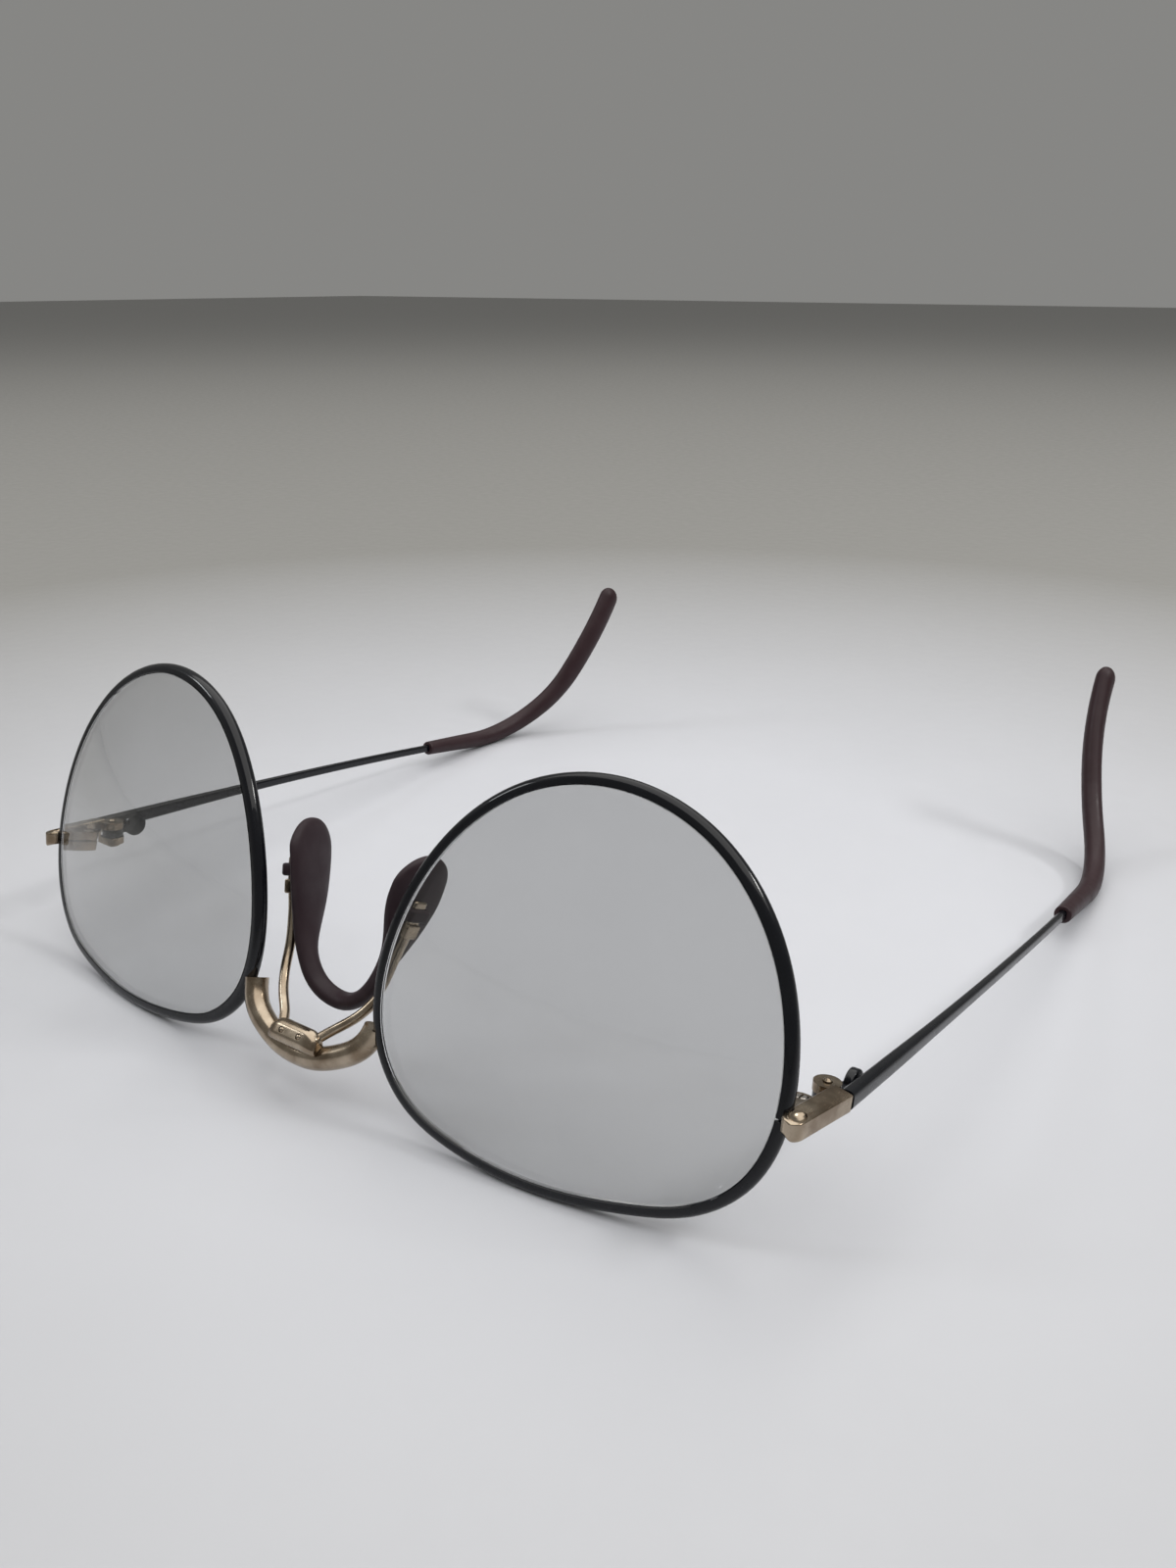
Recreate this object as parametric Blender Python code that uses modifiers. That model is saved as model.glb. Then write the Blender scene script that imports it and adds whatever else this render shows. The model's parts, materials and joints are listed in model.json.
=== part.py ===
"""Full-rim metal spectacles with a one-piece saddle nose pad, resting upside down on the brow line.

The front faces -Y, the temples run back along +Y, +Z is up, and X = 0 is the plane of symmetry.
The object rests on both rims and on the bends of both temple tips, at Z = 0.
Lengths are written in millimetres and measured from the middle of the bridge, then turned into
metres about the centre of the whole object by place().
"""

import math

import bmesh
import bpy
import numpy as np
from mathutils import Matrix, Vector

MM = 0.001

# Where the millimetre layout sits in the part frame
MID_Y = 69.44
FLOOR_LIFT = 0.295

# Lens and rim, in the lens plane: X to the temple side, Y up, Z out of the front
LENS_CENTRE = (37.2, 0.8, 22.4)
LENS_PITCH = math.radians(-17.7)
LENS_WRAP = math.radians(7.0)
BASE_CURVE_RADIUS = 100.0
LENS_THICKNESS = 1.8
LENS_EDGE_GAP = 0.07
LENS_BEVEL_HALF = 0.42
LENS_BEVEL_TIP = 0.38
OUTLINE_STEP = 2.6
OUTLINE = [
    (24.9, 0.0), (20.9, 12.1), (12.1, 21.0), (0.0, 24.1),
    (-11.8, 20.4), (-20.1, 11.6), (-24.7, 0.0), (-25.4, -6.3),
    (-23.7, -13.7), (-19.1, -18.5), (-12.0, -20.8), (0.0, -21.6),
    (11.5, -19.9), (17.4, -18.0), (22.8, -13.1), (24.9, -7.1),
]
RIM_RADIAL = 1.45
RIM_HALF_DEPTH = 0.95
RIM_LIP = 0.5
GROOVE_DEPTH = 0.5
SOLDER_GAP = 0.06

# Closing barrel that pulls the split rim together, in the lens frame
SPLIT_HEIGHT = -5.65
SPLIT_GAP = 0.3
LOCK_AXIS = (25.9, -8.0)
LOCK_RADIUS = 1.4
LOCK_NECK = (-0.55, 0.3)
LOCK_FRONT = -3.9
LOCK_TOP = -4.25
LOCK_BOTTOM = -7.2
LOCK_SCREW_RADIUS = 0.5
LOCK_BORE_RADIUS = 0.6
LOCK_HEAD_RADIUS = 0.78
LOCK_HEAD_DEPTH = 0.4
LOCK_SINK_GAP = 0.08

# Bridge bar and the block that carries the pad arms
BRIDGE_RADIUS = 1.55
BRIDGE_HALF = [
    (0.0, -5.1, 5.1), (3.4, -5.05, 5.6), (6.6, -4.5, 6.8),
    (9.1, -3.6, 8.3), (10.3, -2.6, 9.9), (10.7, -2.0, 11.1),
]
BLOCK_HALF_WIDTH = 4.1
BLOCK_SECTION = [
    (-4.2, 5.8), (-4.1, 8.7), (-4.8, 9.4), (-5.9, 9.4),
    (-7.05, 8.15), (-7.0, 7.3), (-6.3, 6.4),
]
BLOCK_ROUNDING = [0.4, 1.1, 1.1, 1.1, 0.9, 0.9, 1.0]
BLOCK_SEAT = (-5.9, 6.6)
BLOCK_END_SHARE = 0.45
BLOCK_STATIONS = [0.0, 0.5, 0.66, 0.79, 0.9, 0.97, 1.0]
PIN_RADIUS = 0.34
PIN_HOLE_RADIUS = 0.42
PIN_SPACING = 1.5

# Wire arms that hold the nose pad
ARM_RADIUS = 0.65
ARM_SOCKET_RADIUS = 0.72
ARM_PATH = [
    (2.7, -5.3, 7.85), (3.3, -4.5, 8.3), (3.9, -3.7, 8.75), (5.4, -2.35, 9.8),
    (6.8, -1.0, 10.95), (7.9, 0.5, 12.4), (8.7, 2.1, 14.2), (9.25, 3.3, 16.4), (9.85, 4.35, 18.8),
]
SHOULDER_CENTRE = (10.7, 5.4, 21.4)
SHOULDER_SIZE = (1.6, 2.0, 1.9)
TAB_END = (11.6, 6.85, 24.95)
TAB_WIDTH = 1.9
TAB_THICKNESS = 0.8

# Saddle nose pad
PAD_HALF = [
    (0.0, 2.2, 9.4), (2.8, 2.1, 10.2), (5.4, 2.6, 12.4), (6.85, 3.5, 14.9), (7.7, 4.6, 17.1),
    (8.4, 5.9, 19.8), (9.0, 7.0, 22.7), (9.6, 7.95, 25.5), (10.2, 8.6, 27.9), (10.6, 8.95, 30.0),
]
PAD_SPLAY = math.radians(15.0)
STRAP_HALF_WIDTH = 1.4
PAD_HALF_WIDTH = 4.45
PAD_FLARE_START = 7.0
PAD_FLARE_LENGTH = 14.0
PAD_HALF_THICKNESS = 1.05
PAD_ROUND_LENGTH = 4.0
LOOP_SIZE = (2.6, 3.0, 1.7)
LOOP_SHARE = 0.56
LOOP_WALL = 0.62
LOOP_SLOT_GAP = 0.12

# End piece with the front half of the hinge
END_REAR = (64.95, 13.85, 14.15)
END_FRONT = (63.65, 3.2, 15.75)
END_CREASE_ANGLE = math.radians(20.0)
END_SECTION = [(-1.3, -1.0), (0.9, -1.65), (1.3, -1.45), (1.3, 0.6), (-1.3, 0.95)]
END_ROUNDING = [0.35, 0.25, 0.35, 0.15, 0.35]
END_NOSE_LENGTH = 1.6
END_NOSE_DROP = 0.45
DIMPLE_SIZE = (0.9, 1.3, 0.6)
DIMPLE_PLACE = (0.15, 1.75, 0.85)

# Hinge
HINGE_POINT = (62.8, 14.5, 12.95)
TEMPLE_DROP = math.radians(7.3)
BARREL_RADIUS = 1.6
BARREL_HALF_HEIGHT = 1.75
KNUCKLE_RADIUS = 1.5
KNUCKLE_HALF_HEIGHT = 0.58
PLATE_RADIUS = 1.8
PLATE_HALF_THICKNESS = 0.55
PLATE_PLACE = (1.1, 4.7, 0.05)
SLOT_RADIUS = 1.75
SLOT_HALF_HEIGHT = 0.68
PIVOT_RADIUS = 0.5
PIVOT_BORE_RADIUS = 0.57
PIVOT_HEAD_RADIUS = 0.95
PIVOT_HEAD_HEIGHT = 0.5
PIVOT_TIP_HEIGHT = 0.45

# Temple and its plastic tip
TEMPLE_START = (65.4, 14.15, 13.65)
TEMPLE_SPLAY = (math.radians(2.5), math.radians(-2.0))
TEMPLE_SAG = math.radians(1.3)
TEMPLE_STRAIGHT = 93.45
TEMPLE_LENGTH = 145.45
TIP_BEND_RADIUS = 28.8
TIP_BEND_ANGLE = math.radians(61.3)
TIP_TURN_IN = math.radians(-23.3)
TIP_TURN_BACK = math.radians(26.3)
TIP_TURN_SHARES = (0.4, 0.6)
TEMPLE_HALF_WIDTH = 0.8
TEMPLE_HALF_HEIGHT = 1.05
TEMPLE_TAPER = [(0.0, 1.1), (12.0, 1.0), (24.0, 0.84), (38.0, 0.74), (56.0, 0.7), (78.0, 0.68)]
TEMPLE_END_SCALE = 0.68
TEMPLE_CORE_END = 124.0
TIP_START = 79.0
TIP_BORE_GAP = 0.07
TIP_HALF_THICKNESS = 1.7
TIP_MOUTH = 1.38
TIP_PADDLE = 2.65
TIP_ROUND_LENGTH = 2.4
TIP_STEP = 4.0
TIP_SIDES = 16

FINISHES = {
    "black_enamel": ((0.010, 0.010, 0.013), 0.22, 0.0, 1.0),
    "gold_plate": ((0.60, 0.47, 0.29), 0.26, 1.0, 1.0),
    "steel": ((0.58, 0.56, 0.53), 0.30, 1.0, 1.0),
    "clear_lens": ((0.86, 0.88, 0.87), 0.04, 0.0, 0.25),
    "burgundy_rubber": ((0.090, 0.018, 0.026), 0.55, 0.0, 1.0),
    "burgundy_plastic": ((0.105, 0.010, 0.018), 0.38, 0.0, 1.0),
}


def place(x, y, z):
    """Point in the part frame, in metres, from the millimetre layout."""
    return Vector((x, y - MID_Y, z + FLOOR_LIFT)) * MM


def clear_scene():
    for obj in list(bpy.data.objects):
        bpy.data.objects.remove(obj, do_unlink=True)


def collection(name):
    made = bpy.data.collections.new(name)
    bpy.context.scene.collection.children.link(made)
    return made


def assign_finish(obj, finish):
    colour, roughness, metallic, alpha = FINISHES[finish]
    mat = bpy.data.materials.new(f"{obj.name}_{finish}")
    mat.use_nodes = True
    shader = mat.node_tree.nodes["Principled BSDF"]
    shader.inputs["Base Color"].default_value = (*colour, 1.0)
    shader.inputs["Roughness"].default_value = roughness
    shader.inputs["Metallic"].default_value = metallic
    shader.inputs["Alpha"].default_value = alpha
    obj.data.materials.clear()
    obj.data.materials.append(mat)


def add_object(name, mesh, target, matrix=None):
    obj = bpy.data.objects.new(name, mesh)
    target.objects.link(obj)
    if matrix is not None:
        obj.matrix_world = matrix
    return obj


def as_cutter(obj):
    """Keep an object as a Boolean operand only."""
    for old in list(obj.users_collection):
        old.objects.unlink(obj)
    CUTTERS.objects.link(obj)
    obj.hide_render = True
    obj.display_type = "WIRE"
    return obj


def boolean(obj, operand, operation="DIFFERENCE"):
    modifier = obj.modifiers.new(f"{operation.lower()}_{operand.name}", "BOOLEAN")
    modifier.operation = operation
    modifier.solver = "EXACT"
    modifier.object = as_cutter(operand)


def bevel(obj, width, segments=2, angle=40.0):
    modifier = obj.modifiers.new("bevel", "BEVEL")
    modifier.width = width * MM
    modifier.segments = segments
    modifier.limit_method = "ANGLE"
    modifier.angle_limit = math.radians(angle)


def smooth_sides(obj, angle=35.0):
    obj.data.shade_smooth()
    obj.data.set_sharp_from_angle(angle=math.radians(angle))


def evaluated_mesh(obj):
    bpy.context.view_layer.update()
    graph = bpy.context.evaluated_depsgraph_get()
    return bpy.data.meshes.new_from_object(obj.evaluated_get(graph))


def fixed_normals(mesh, merge=0.0):
    work = bmesh.new()
    work.from_mesh(mesh)
    if merge:
        bmesh.ops.remove_doubles(work, verts=work.verts, dist=merge)
    bmesh.ops.recalc_face_normals(work, faces=work.faces)
    work.to_mesh(mesh)
    work.free()
    return mesh


def natural_spline(anchors, step, closed=False):
    """Smooth path through the anchors, as a cubic spline over chord length, about step apart."""
    points = np.array(anchors, dtype=float)
    count = len(points)
    following = np.roll(points, -1, axis=0)
    chord = np.linalg.norm(following - points, axis=1)
    system = np.eye(count)
    known = np.zeros_like(points)
    for i in range(count) if closed else range(1, count - 1):
        before, after = (i - 1) % count, (i + 1) % count
        system[i, i] = 2.0 * (chord[before] + chord[i])
        system[i, before] += chord[before]
        system[i, after] += chord[i]
        known[i] = 6.0 * (
            (points[after] - points[i]) / chord[i] - (points[i] - points[before]) / chord[before]
        )
    bend = np.linalg.solve(system, known)
    path = []
    for i in range(count if closed else count - 1):
        j = (i + 1) % count
        pieces = max(1, round(chord[i] / step))
        for k in range(pieces):
            t = k / pieces
            s = 1.0 - t
            curvature = ((s**3 - s) * bend[i] + (t**3 - t) * bend[j]) * chord[i] ** 2 / 6.0
            path.append(s * points[i] + t * points[j] + curvature)
    if not closed:
        path.append(points[-1])
    return path


def curve_mesh(name, points, radius=None, profile=None, radii=None, closed=False, rounds=2):
    """Mesh of a tube along the points: round with a radius, or with a closed profile curve."""
    curve = bpy.data.curves.new(name, "CURVE")
    curve.dimensions = "3D"
    curve.twist_mode = "Z_UP"
    curve.use_fill_caps = not closed
    if profile is None:
        curve.bevel_depth = radius * MM
        curve.bevel_resolution = rounds
    else:
        curve.bevel_mode = "OBJECT"
        curve.bevel_object = profile
    spline = curve.splines.new("POLY")
    spline.points.add(len(points) - 1)
    spline.use_cyclic_u = closed
    for i, point in enumerate(points):
        spline.points[i].co = (*point, 1.0)
        spline.points[i].radius = radii[i] if radii else 1.0
    guide = add_object(f"{name}_guide", curve, CUTTERS)
    mesh = evaluated_mesh(guide)
    bpy.data.objects.remove(guide, do_unlink=True)
    return fixed_normals(mesh, merge=0.000001)


def profile_curve(name, outline):
    """Closed 2D section, in millimetres, for a swept bar."""
    curve = bpy.data.curves.new(name, "CURVE")
    curve.dimensions = "2D"
    spline = curve.splines.new("POLY")
    spline.points.add(len(outline) - 1)
    spline.use_cyclic_u = True
    for point, (x, y) in zip(spline.points, outline):
        point.co = (x * MM, y * MM, 0.0, 1.0)
    return as_cutter(add_object(name, curve, CUTTERS))


def extruded_mesh(name, outline, half_thickness):
    """Mesh of a flat outline in X and Y, in millimetres, thickened both ways along Z."""
    curve = bpy.data.curves.new(name, "CURVE")
    curve.dimensions = "2D"
    curve.fill_mode = "BOTH"
    curve.extrude = half_thickness * MM
    spline = curve.splines.new("POLY")
    spline.points.add(len(outline) - 1)
    spline.use_cyclic_u = True
    for point, (x, y) in zip(spline.points, outline):
        point.co = (x * MM, y * MM, 0.0, 1.0)
    guide = add_object(f"{name}_guide", curve, CUTTERS)
    mesh = evaluated_mesh(guide)
    bpy.data.objects.remove(guide, do_unlink=True)
    return fixed_normals(mesh, merge=0.000001)


def loft_mesh(name, rings):
    """Closed mesh through rings of equal length. A ring of one point is a pole."""
    mesh = bpy.data.meshes.new(name)
    work = bmesh.new()
    loops = [[work.verts.new(point) for point in ring] for ring in rings]
    for first, second in zip(loops, loops[1:]):
        sides = max(len(first), len(second))
        for i in range(sides):
            j = (i + 1) % sides
            corners = [first[i % len(first)], first[j % len(first)]]
            corners += [second[j % len(second)], second[i % len(second)]]
            work.faces.new(list(dict.fromkeys(corners)))
    for end in (loops[0], loops[-1]):
        if len(end) > 2:
            work.faces.new(end)
    bmesh.ops.recalc_face_normals(work, faces=work.faces)
    work.to_mesh(mesh)
    work.free()
    return mesh


def box(name, size, matrix, target=None):
    """Box of full size in millimetres, centred on the matrix."""
    mesh = bpy.data.meshes.new(name)
    work = bmesh.new()
    bmesh.ops.create_cube(work, size=1.0, matrix=Matrix.Diagonal((*[s * MM for s in size], 1.0)))
    work.to_mesh(mesh)
    work.free()
    return add_object(name, mesh, target or PARTS, matrix)


def cylinder(name, radius, half_height, matrix, target=None, segments=24):
    """Cylinder along the matrix's Z axis, in millimetres, centred on the matrix."""
    mesh = bpy.data.meshes.new(name)
    work = bmesh.new()
    bmesh.ops.create_cone(
        work, cap_ends=True, segments=segments, radius1=radius * MM, radius2=radius * MM,
        depth=2.0 * half_height * MM,
    )
    work.to_mesh(mesh)
    work.free()
    return add_object(name, mesh, target or PARTS, matrix)


def turned(name, profile, matrix, steps=20):
    """Turned piece: a profile of (radius, height) in millimetres, from the top down its outer side."""
    mesh = bpy.data.meshes.new(name)
    points = [(r * MM, 0.0, h * MM) for r, h in profile]
    mesh.from_pydata(points, [(i, i + 1) for i in range(len(points) - 1)], [])
    obj = add_object(name, mesh, PARTS, matrix)
    screw = obj.modifiers.new("turn", "SCREW")
    screw.steps = steps
    screw.render_steps = steps
    screw.use_merge_vertices = True
    screw.merge_threshold = 0.00001
    screw.use_smooth_shade = False
    return obj


def mirrored(obj, name, finish):
    """Left copy of a right piece, reflected in the plane of symmetry."""
    mesh = evaluated_mesh(obj)
    mesh.transform(Matrix.Scale(-1.0, 4, Vector((1.0, 0.0, 0.0))) @ obj.matrix_world)
    mesh.flip_normals()
    copy = add_object(name, mesh, PARTS)
    assign_finish(copy, finish)
    return copy


def pair(obj, finish):
    """Finish a piece named right_* and make its left twin."""
    assign_finish(obj, finish)
    twin = mirrored(obj, obj.name.replace("right_", "left_"), finish)
    return obj, twin


def frame_matrix(origin, along, up=(0.0, 0.0, 1.0)):
    """Matrix whose Y axis runs along one direction and whose Z axis leans towards another."""
    y = Vector(along).normalized()
    x = y.cross(Vector(up)).normalized()
    z = x.cross(y)
    turn = Matrix((x, y, z)).transposed().to_4x4()
    return Matrix.Translation(origin) @ turn


def lens_matrix():
    tilt = Matrix.Rotation(LENS_PITCH, 4, "X") @ Matrix.Rotation(LENS_WRAP, 4, "Z")
    stand = Matrix.Rotation(math.radians(90.0), 4, "X")
    return Matrix.Translation(place(*LENS_CENTRE)) @ tilt @ stand


def outline_path():
    return natural_spline(OUTLINE, OUTLINE_STEP, closed=True)


def grown(outline, distance):
    """Counter-clockwise outline moved outwards by a distance."""
    points = np.array(outline)
    along = np.roll(points, -1, axis=0) - np.roll(points, 1, axis=0)
    along /= np.linalg.norm(along, axis=1)[:, None]
    return points + distance * np.stack([along[:, 1], -along[:, 0]], axis=1)


def on_lens(points, height):
    """Points on the base curve, in the lens frame, raised towards the front."""
    return [
        Vector((u, v, height - (u * u + v * v) / (2.0 * BASE_CURVE_RADIUS))) * MM
        for u, v in points
    ]


def rim_section(grow=0.0, groove=True):
    """Rim section: X runs outwards from the lip, Y runs across the rim."""
    depth = RIM_HALF_DEPTH + grow
    shoulder = 0.55
    section = [(-grow, -depth), (shoulder, -depth)]
    for k in range(1, 6):
        angle = math.radians(-90.0 + 30.0 * k)
        section.append(
            (shoulder + (RIM_RADIAL + grow - shoulder) * math.cos(angle), depth * math.sin(angle))
        )
    section += [(shoulder, depth), (-grow, depth)]
    if groove:
        section += [(0.0, RIM_LIP), (GROOVE_DEPTH, 0.0), (0.0, -RIM_LIP)]
    return section


def rim_mesh(name, grow=0.0, groove=True):
    section = profile_curve(f"{name}_section", rim_section(grow, groove))
    path = on_lens(outline_path(), 0.0)
    return curve_mesh(name, path, profile=section, closed=True)


def make_rims():
    rim = add_object("right_rim", rim_mesh("right_rim"), PARTS, lens_matrix())
    gap_height = -(LOCK_AXIS[0] ** 2) / (2.0 * BASE_CURVE_RADIUS)
    gap_place = Matrix.Translation(Vector((LOCK_AXIS[0], SPLIT_HEIGHT, gap_height)) * MM)
    boolean(rim, box("rim_split", (5.0, SPLIT_GAP, 5.0), lens_matrix() @ gap_place, CUTTERS))
    smooth_sides(rim)
    pair(rim, "black_enamel")


def make_lenses():
    outline = outline_path()
    half = LENS_THICKNESS / 2.0
    edge = grown(outline, -LENS_EDGE_GAP)
    scales = (0.35, 0.7)
    rings = [on_lens([(0.0, 0.0)], half)]
    rings += [on_lens(edge * k, half) for k in scales]
    rings.append(on_lens(edge, half))
    rings.append(on_lens(edge, LENS_BEVEL_HALF))
    rings.append(on_lens(grown(outline, LENS_BEVEL_TIP), 0.0))
    rings.append(on_lens(edge, -LENS_BEVEL_HALF))
    rings.append(on_lens(edge, -half))
    rings += [on_lens(edge * k, -half) for k in reversed(scales)]
    rings.append(on_lens([(0.0, 0.0)], -half))
    lens = add_object("right_lens", loft_mesh("right_lens", rings), PARTS, lens_matrix())
    smooth_sides(lens)
    pair(lens, "clear_lens")


def lock_outline():
    """Seen along the closing screw: a block behind the rim with a round rear end."""
    axis_x, axis_z = LOCK_AXIS
    outline = [(axis_x + LOCK_NECK[1], LOCK_FRONT), (axis_x + LOCK_NECK[0], LOCK_FRONT)]
    outline.append((axis_x - LOCK_RADIUS, LOCK_FRONT - 2.2))
    for k in range(9):
        angle = math.radians(180.0 + 22.5 * k)
        outline.append(
            (axis_x + LOCK_RADIUS * math.cos(angle), axis_z + LOCK_RADIUS * math.sin(angle))
        )
    return outline


def rim_clearance(name):
    """Solid ring slightly fatter than the rim, to trim what is soldered to it."""
    return add_object(name, rim_mesh(name, SOLDER_GAP, groove=False), CUTTERS, lens_matrix())


def lock_clearance(name):
    """Solid slightly fatter than the lock barrel, to hollow out what it is soldered into."""
    lay = Matrix.Rotation(math.radians(90.0), 4, "X")
    middle = Matrix.Translation(Vector((0.0, (LOCK_BOTTOM + LOCK_TOP) / 2.0, 0.0)) * MM)
    mesh = extruded_mesh(name, grown(lock_outline(), SOLDER_GAP), (LOCK_TOP - LOCK_BOTTOM) / 2.0 + 0.6)
    return add_object(name, mesh, CUTTERS, lens_matrix() @ middle @ lay)


def make_locks():
    """Two stacked half barrels and the screw through them. Their axis is the lens frame's Y."""
    half_gap = SPLIT_GAP / 2.0
    lay = Matrix.Rotation(math.radians(90.0), 4, "X")
    heights = {
        "upper": (SPLIT_HEIGHT + half_gap, LOCK_TOP),
        "lower": (LOCK_BOTTOM, SPLIT_HEIGHT - half_gap),
    }
    for level, (low, high) in heights.items():
        middle = Matrix.Translation(Vector((0.0, (low + high) / 2.0, 0.0)) * MM)
        name = f"right_lock_{level}"
        mesh = extruded_mesh(name, lock_outline(), (high - low) / 2.0)
        block = add_object(name, mesh, PARTS, lens_matrix() @ middle @ lay)
        boolean(block, rim_clearance(f"{name}_trim"))
        bore_place = Vector((LOCK_AXIS[0], (low + high) / 2.0, LOCK_AXIS[1])) * MM
        bore_matrix = lens_matrix() @ Matrix.Translation(bore_place) @ lay
        boolean(block, cylinder(f"{name}_bore", LOCK_BORE_RADIUS, 3.0, bore_matrix, CUTTERS, 20))
        if level == "upper":
            sink = bore_place + Vector((0.0, (high - low) / 2.0, 0.0)) * MM
            sink_matrix = lens_matrix() @ Matrix.Translation(sink) @ lay
            radius, depth = LOCK_HEAD_RADIUS + LOCK_SINK_GAP, LOCK_HEAD_DEPTH + 0.05
            boolean(block, cylinder("lock_sink", radius, depth, sink_matrix, CUTTERS, 20))
        smooth_sides(block)
        pair(block, "gold_plate")
    stand = Matrix.Rotation(math.radians(-90.0), 4, "X")
    top = Vector((LOCK_AXIS[0], LOCK_TOP, LOCK_AXIS[1])) * MM
    shaft = LOCK_BOTTOM - LOCK_TOP + 0.3
    profile = [
        (0.0, 0.05), (LOCK_HEAD_RADIUS - 0.15, 0.05), (LOCK_HEAD_RADIUS, -0.08),
        (LOCK_HEAD_RADIUS, -LOCK_HEAD_DEPTH), (LOCK_SCREW_RADIUS, -LOCK_HEAD_DEPTH),
        (LOCK_SCREW_RADIUS, shaft), (0.0, shaft),
    ]
    screw_matrix = lens_matrix() @ Matrix.Translation(top) @ stand
    screw = turned("right_lock_screw", profile, screw_matrix)
    slot = box("lock_screw_slot", (0.26, 3.0, 0.5), screw_matrix, CUTTERS)
    boolean(screw, slot)
    pair(screw, "steel")


def full_path(half):
    """Both halves of a symmetric path, from the left end to the right end."""
    left = [(-x, y, z) for x, y, z in reversed(half[1:])]
    return left + list(half)


def make_bridge():
    path = [place(*p) for p in natural_spline(full_path(BRIDGE_HALF), 1.3)]
    bridge = add_object("bridge", curve_mesh("bridge", path, BRIDGE_RADIUS), PARTS)
    right = rim_clearance("bridge_trim_right")
    left_mesh = evaluated_mesh(right)
    left_mesh.transform(Matrix.Scale(-1.0, 4, Vector((1.0, 0.0, 0.0))) @ right.matrix_world)
    left_mesh.flip_normals()
    boolean(bridge, right)
    boolean(bridge, add_object("bridge_trim_left", left_mesh, CUTTERS))
    smooth_sides(bridge)
    assign_finish(bridge, "gold_plate")


def block_matrix():
    """Frame in which the block's section is drawn: X is world Y, Y is world Z."""
    turn = Matrix(((0.0, 0.0, 1.0), (1.0, 0.0, 0.0), (0.0, 1.0, 0.0))).to_4x4()
    return Matrix.Translation(place(0.0, 0.0, 0.0)) @ turn


def pin_matrix(side):
    """Pin axis, square to the block's sloping front face."""
    normal = Vector((0.0, -1.35, 1.2)).normalized()
    foot = place(side * PIN_SPACING, -6.5, 8.775)
    return Matrix.Translation(foot) @ normal.to_track_quat("Z", "Y").to_matrix().to_4x4()


def block_mesh():
    """Rounded section that falls away towards both ends of the block."""
    section = rounded_polygon(BLOCK_SECTION, BLOCK_ROUNDING, 4)
    seat = Vector(BLOCK_SEAT)
    rings = []
    for share in [-k for k in reversed(BLOCK_STATIONS[1:])] + BLOCK_STATIONS:
        past = max(0.0, (abs(share) - BLOCK_STATIONS[1]) / (1.0 - BLOCK_STATIONS[1]))
        size = BLOCK_END_SHARE + (1.0 - BLOCK_END_SHARE) * math.sqrt(1.0 - past**2)
        points = [seat + (p - seat) * size for p in section]
        rings.append([Vector((p.x, p.y, share * BLOCK_HALF_WIDTH)) * MM for p in points])
    return loft_mesh("bridge_block", rings)


def make_block():
    block = add_object("bridge_block", block_mesh(), PARTS, block_matrix())
    path = [place(*p) for p in natural_spline(full_path(BRIDGE_HALF), 1.3)]
    bar = curve_mesh("block_seat", path, BRIDGE_RADIUS + SOLDER_GAP)
    boolean(block, add_object("block_seat", bar, CUTTERS))
    for side, label in ((1.0, "right"), (-1.0, "left")):
        mirror = Vector((side, 1.0, 1.0))
        root, leave = (place(*ARM_PATH[k]) * mirror for k in (0, 1))
        turn = (leave - root).to_track_quat("Z", "Y").to_matrix().to_4x4()
        socket_matrix = Matrix.Translation(leave) @ turn
        depth = (leave - root).length / MM + SOLDER_GAP
        socket = cylinder(f"arm_socket_{label}", ARM_SOCKET_RADIUS, depth, socket_matrix, CUTTERS, 20)
        boolean(block, socket)
        hole = cylinder(f"pin_hole_{label}", PIN_HOLE_RADIUS, 0.5, pin_matrix(side), CUTTERS, 16)
        boolean(block, hole)
    smooth_sides(block)
    assign_finish(block, "gold_plate")
    profile = [(0.0, 0.12), (0.2, 0.08), (PIN_RADIUS, -0.08), (PIN_RADIUS, -0.4), (0.0, -0.4)]
    pair(turned("right_block_pin", profile, pin_matrix(1.0), 12), "gold_plate")


def make_arms():
    path = [place(*p) for p in natural_spline(ARM_PATH, 1.1)]
    path.append(place(*SHOULDER_CENTRE))
    arm = add_object("right_pad_arm", curve_mesh("right_pad_arm", path, ARM_RADIUS), PARTS)
    shoulder = box("arm_shoulder", SHOULDER_SIZE, tab_matrix(0.0), CUTTERS)
    tab_length = (place(*TAB_END) - place(*SHOULDER_CENTRE)).length / MM
    tab = box("arm_tab", (TAB_THICKNESS, TAB_WIDTH, tab_length), tab_matrix(0.5), CUTTERS)
    bevel(shoulder, 0.25)
    bevel(tab, 0.35, 3)
    boolean(arm, shoulder, "UNION")
    boolean(arm, tab, "UNION")
    smooth_sides(arm)
    pair(arm, "gold_plate")


def tab_matrix(share):
    """Frame at a share of the way up the tab: Z up the tab, Y across the pad face, X off the face."""
    foot, tip = place(*SHOULDER_CENTRE), place(*TAB_END)
    across = Vector((-math.sin(PAD_SPLAY), -math.cos(PAD_SPLAY), 0.0))
    z = (tip - foot).normalized()
    x = z.cross(across).normalized()
    y = z.cross(x)
    return Matrix.Translation(foot.lerp(tip, share)) @ Matrix((x, y, z)).transposed().to_4x4()


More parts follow.
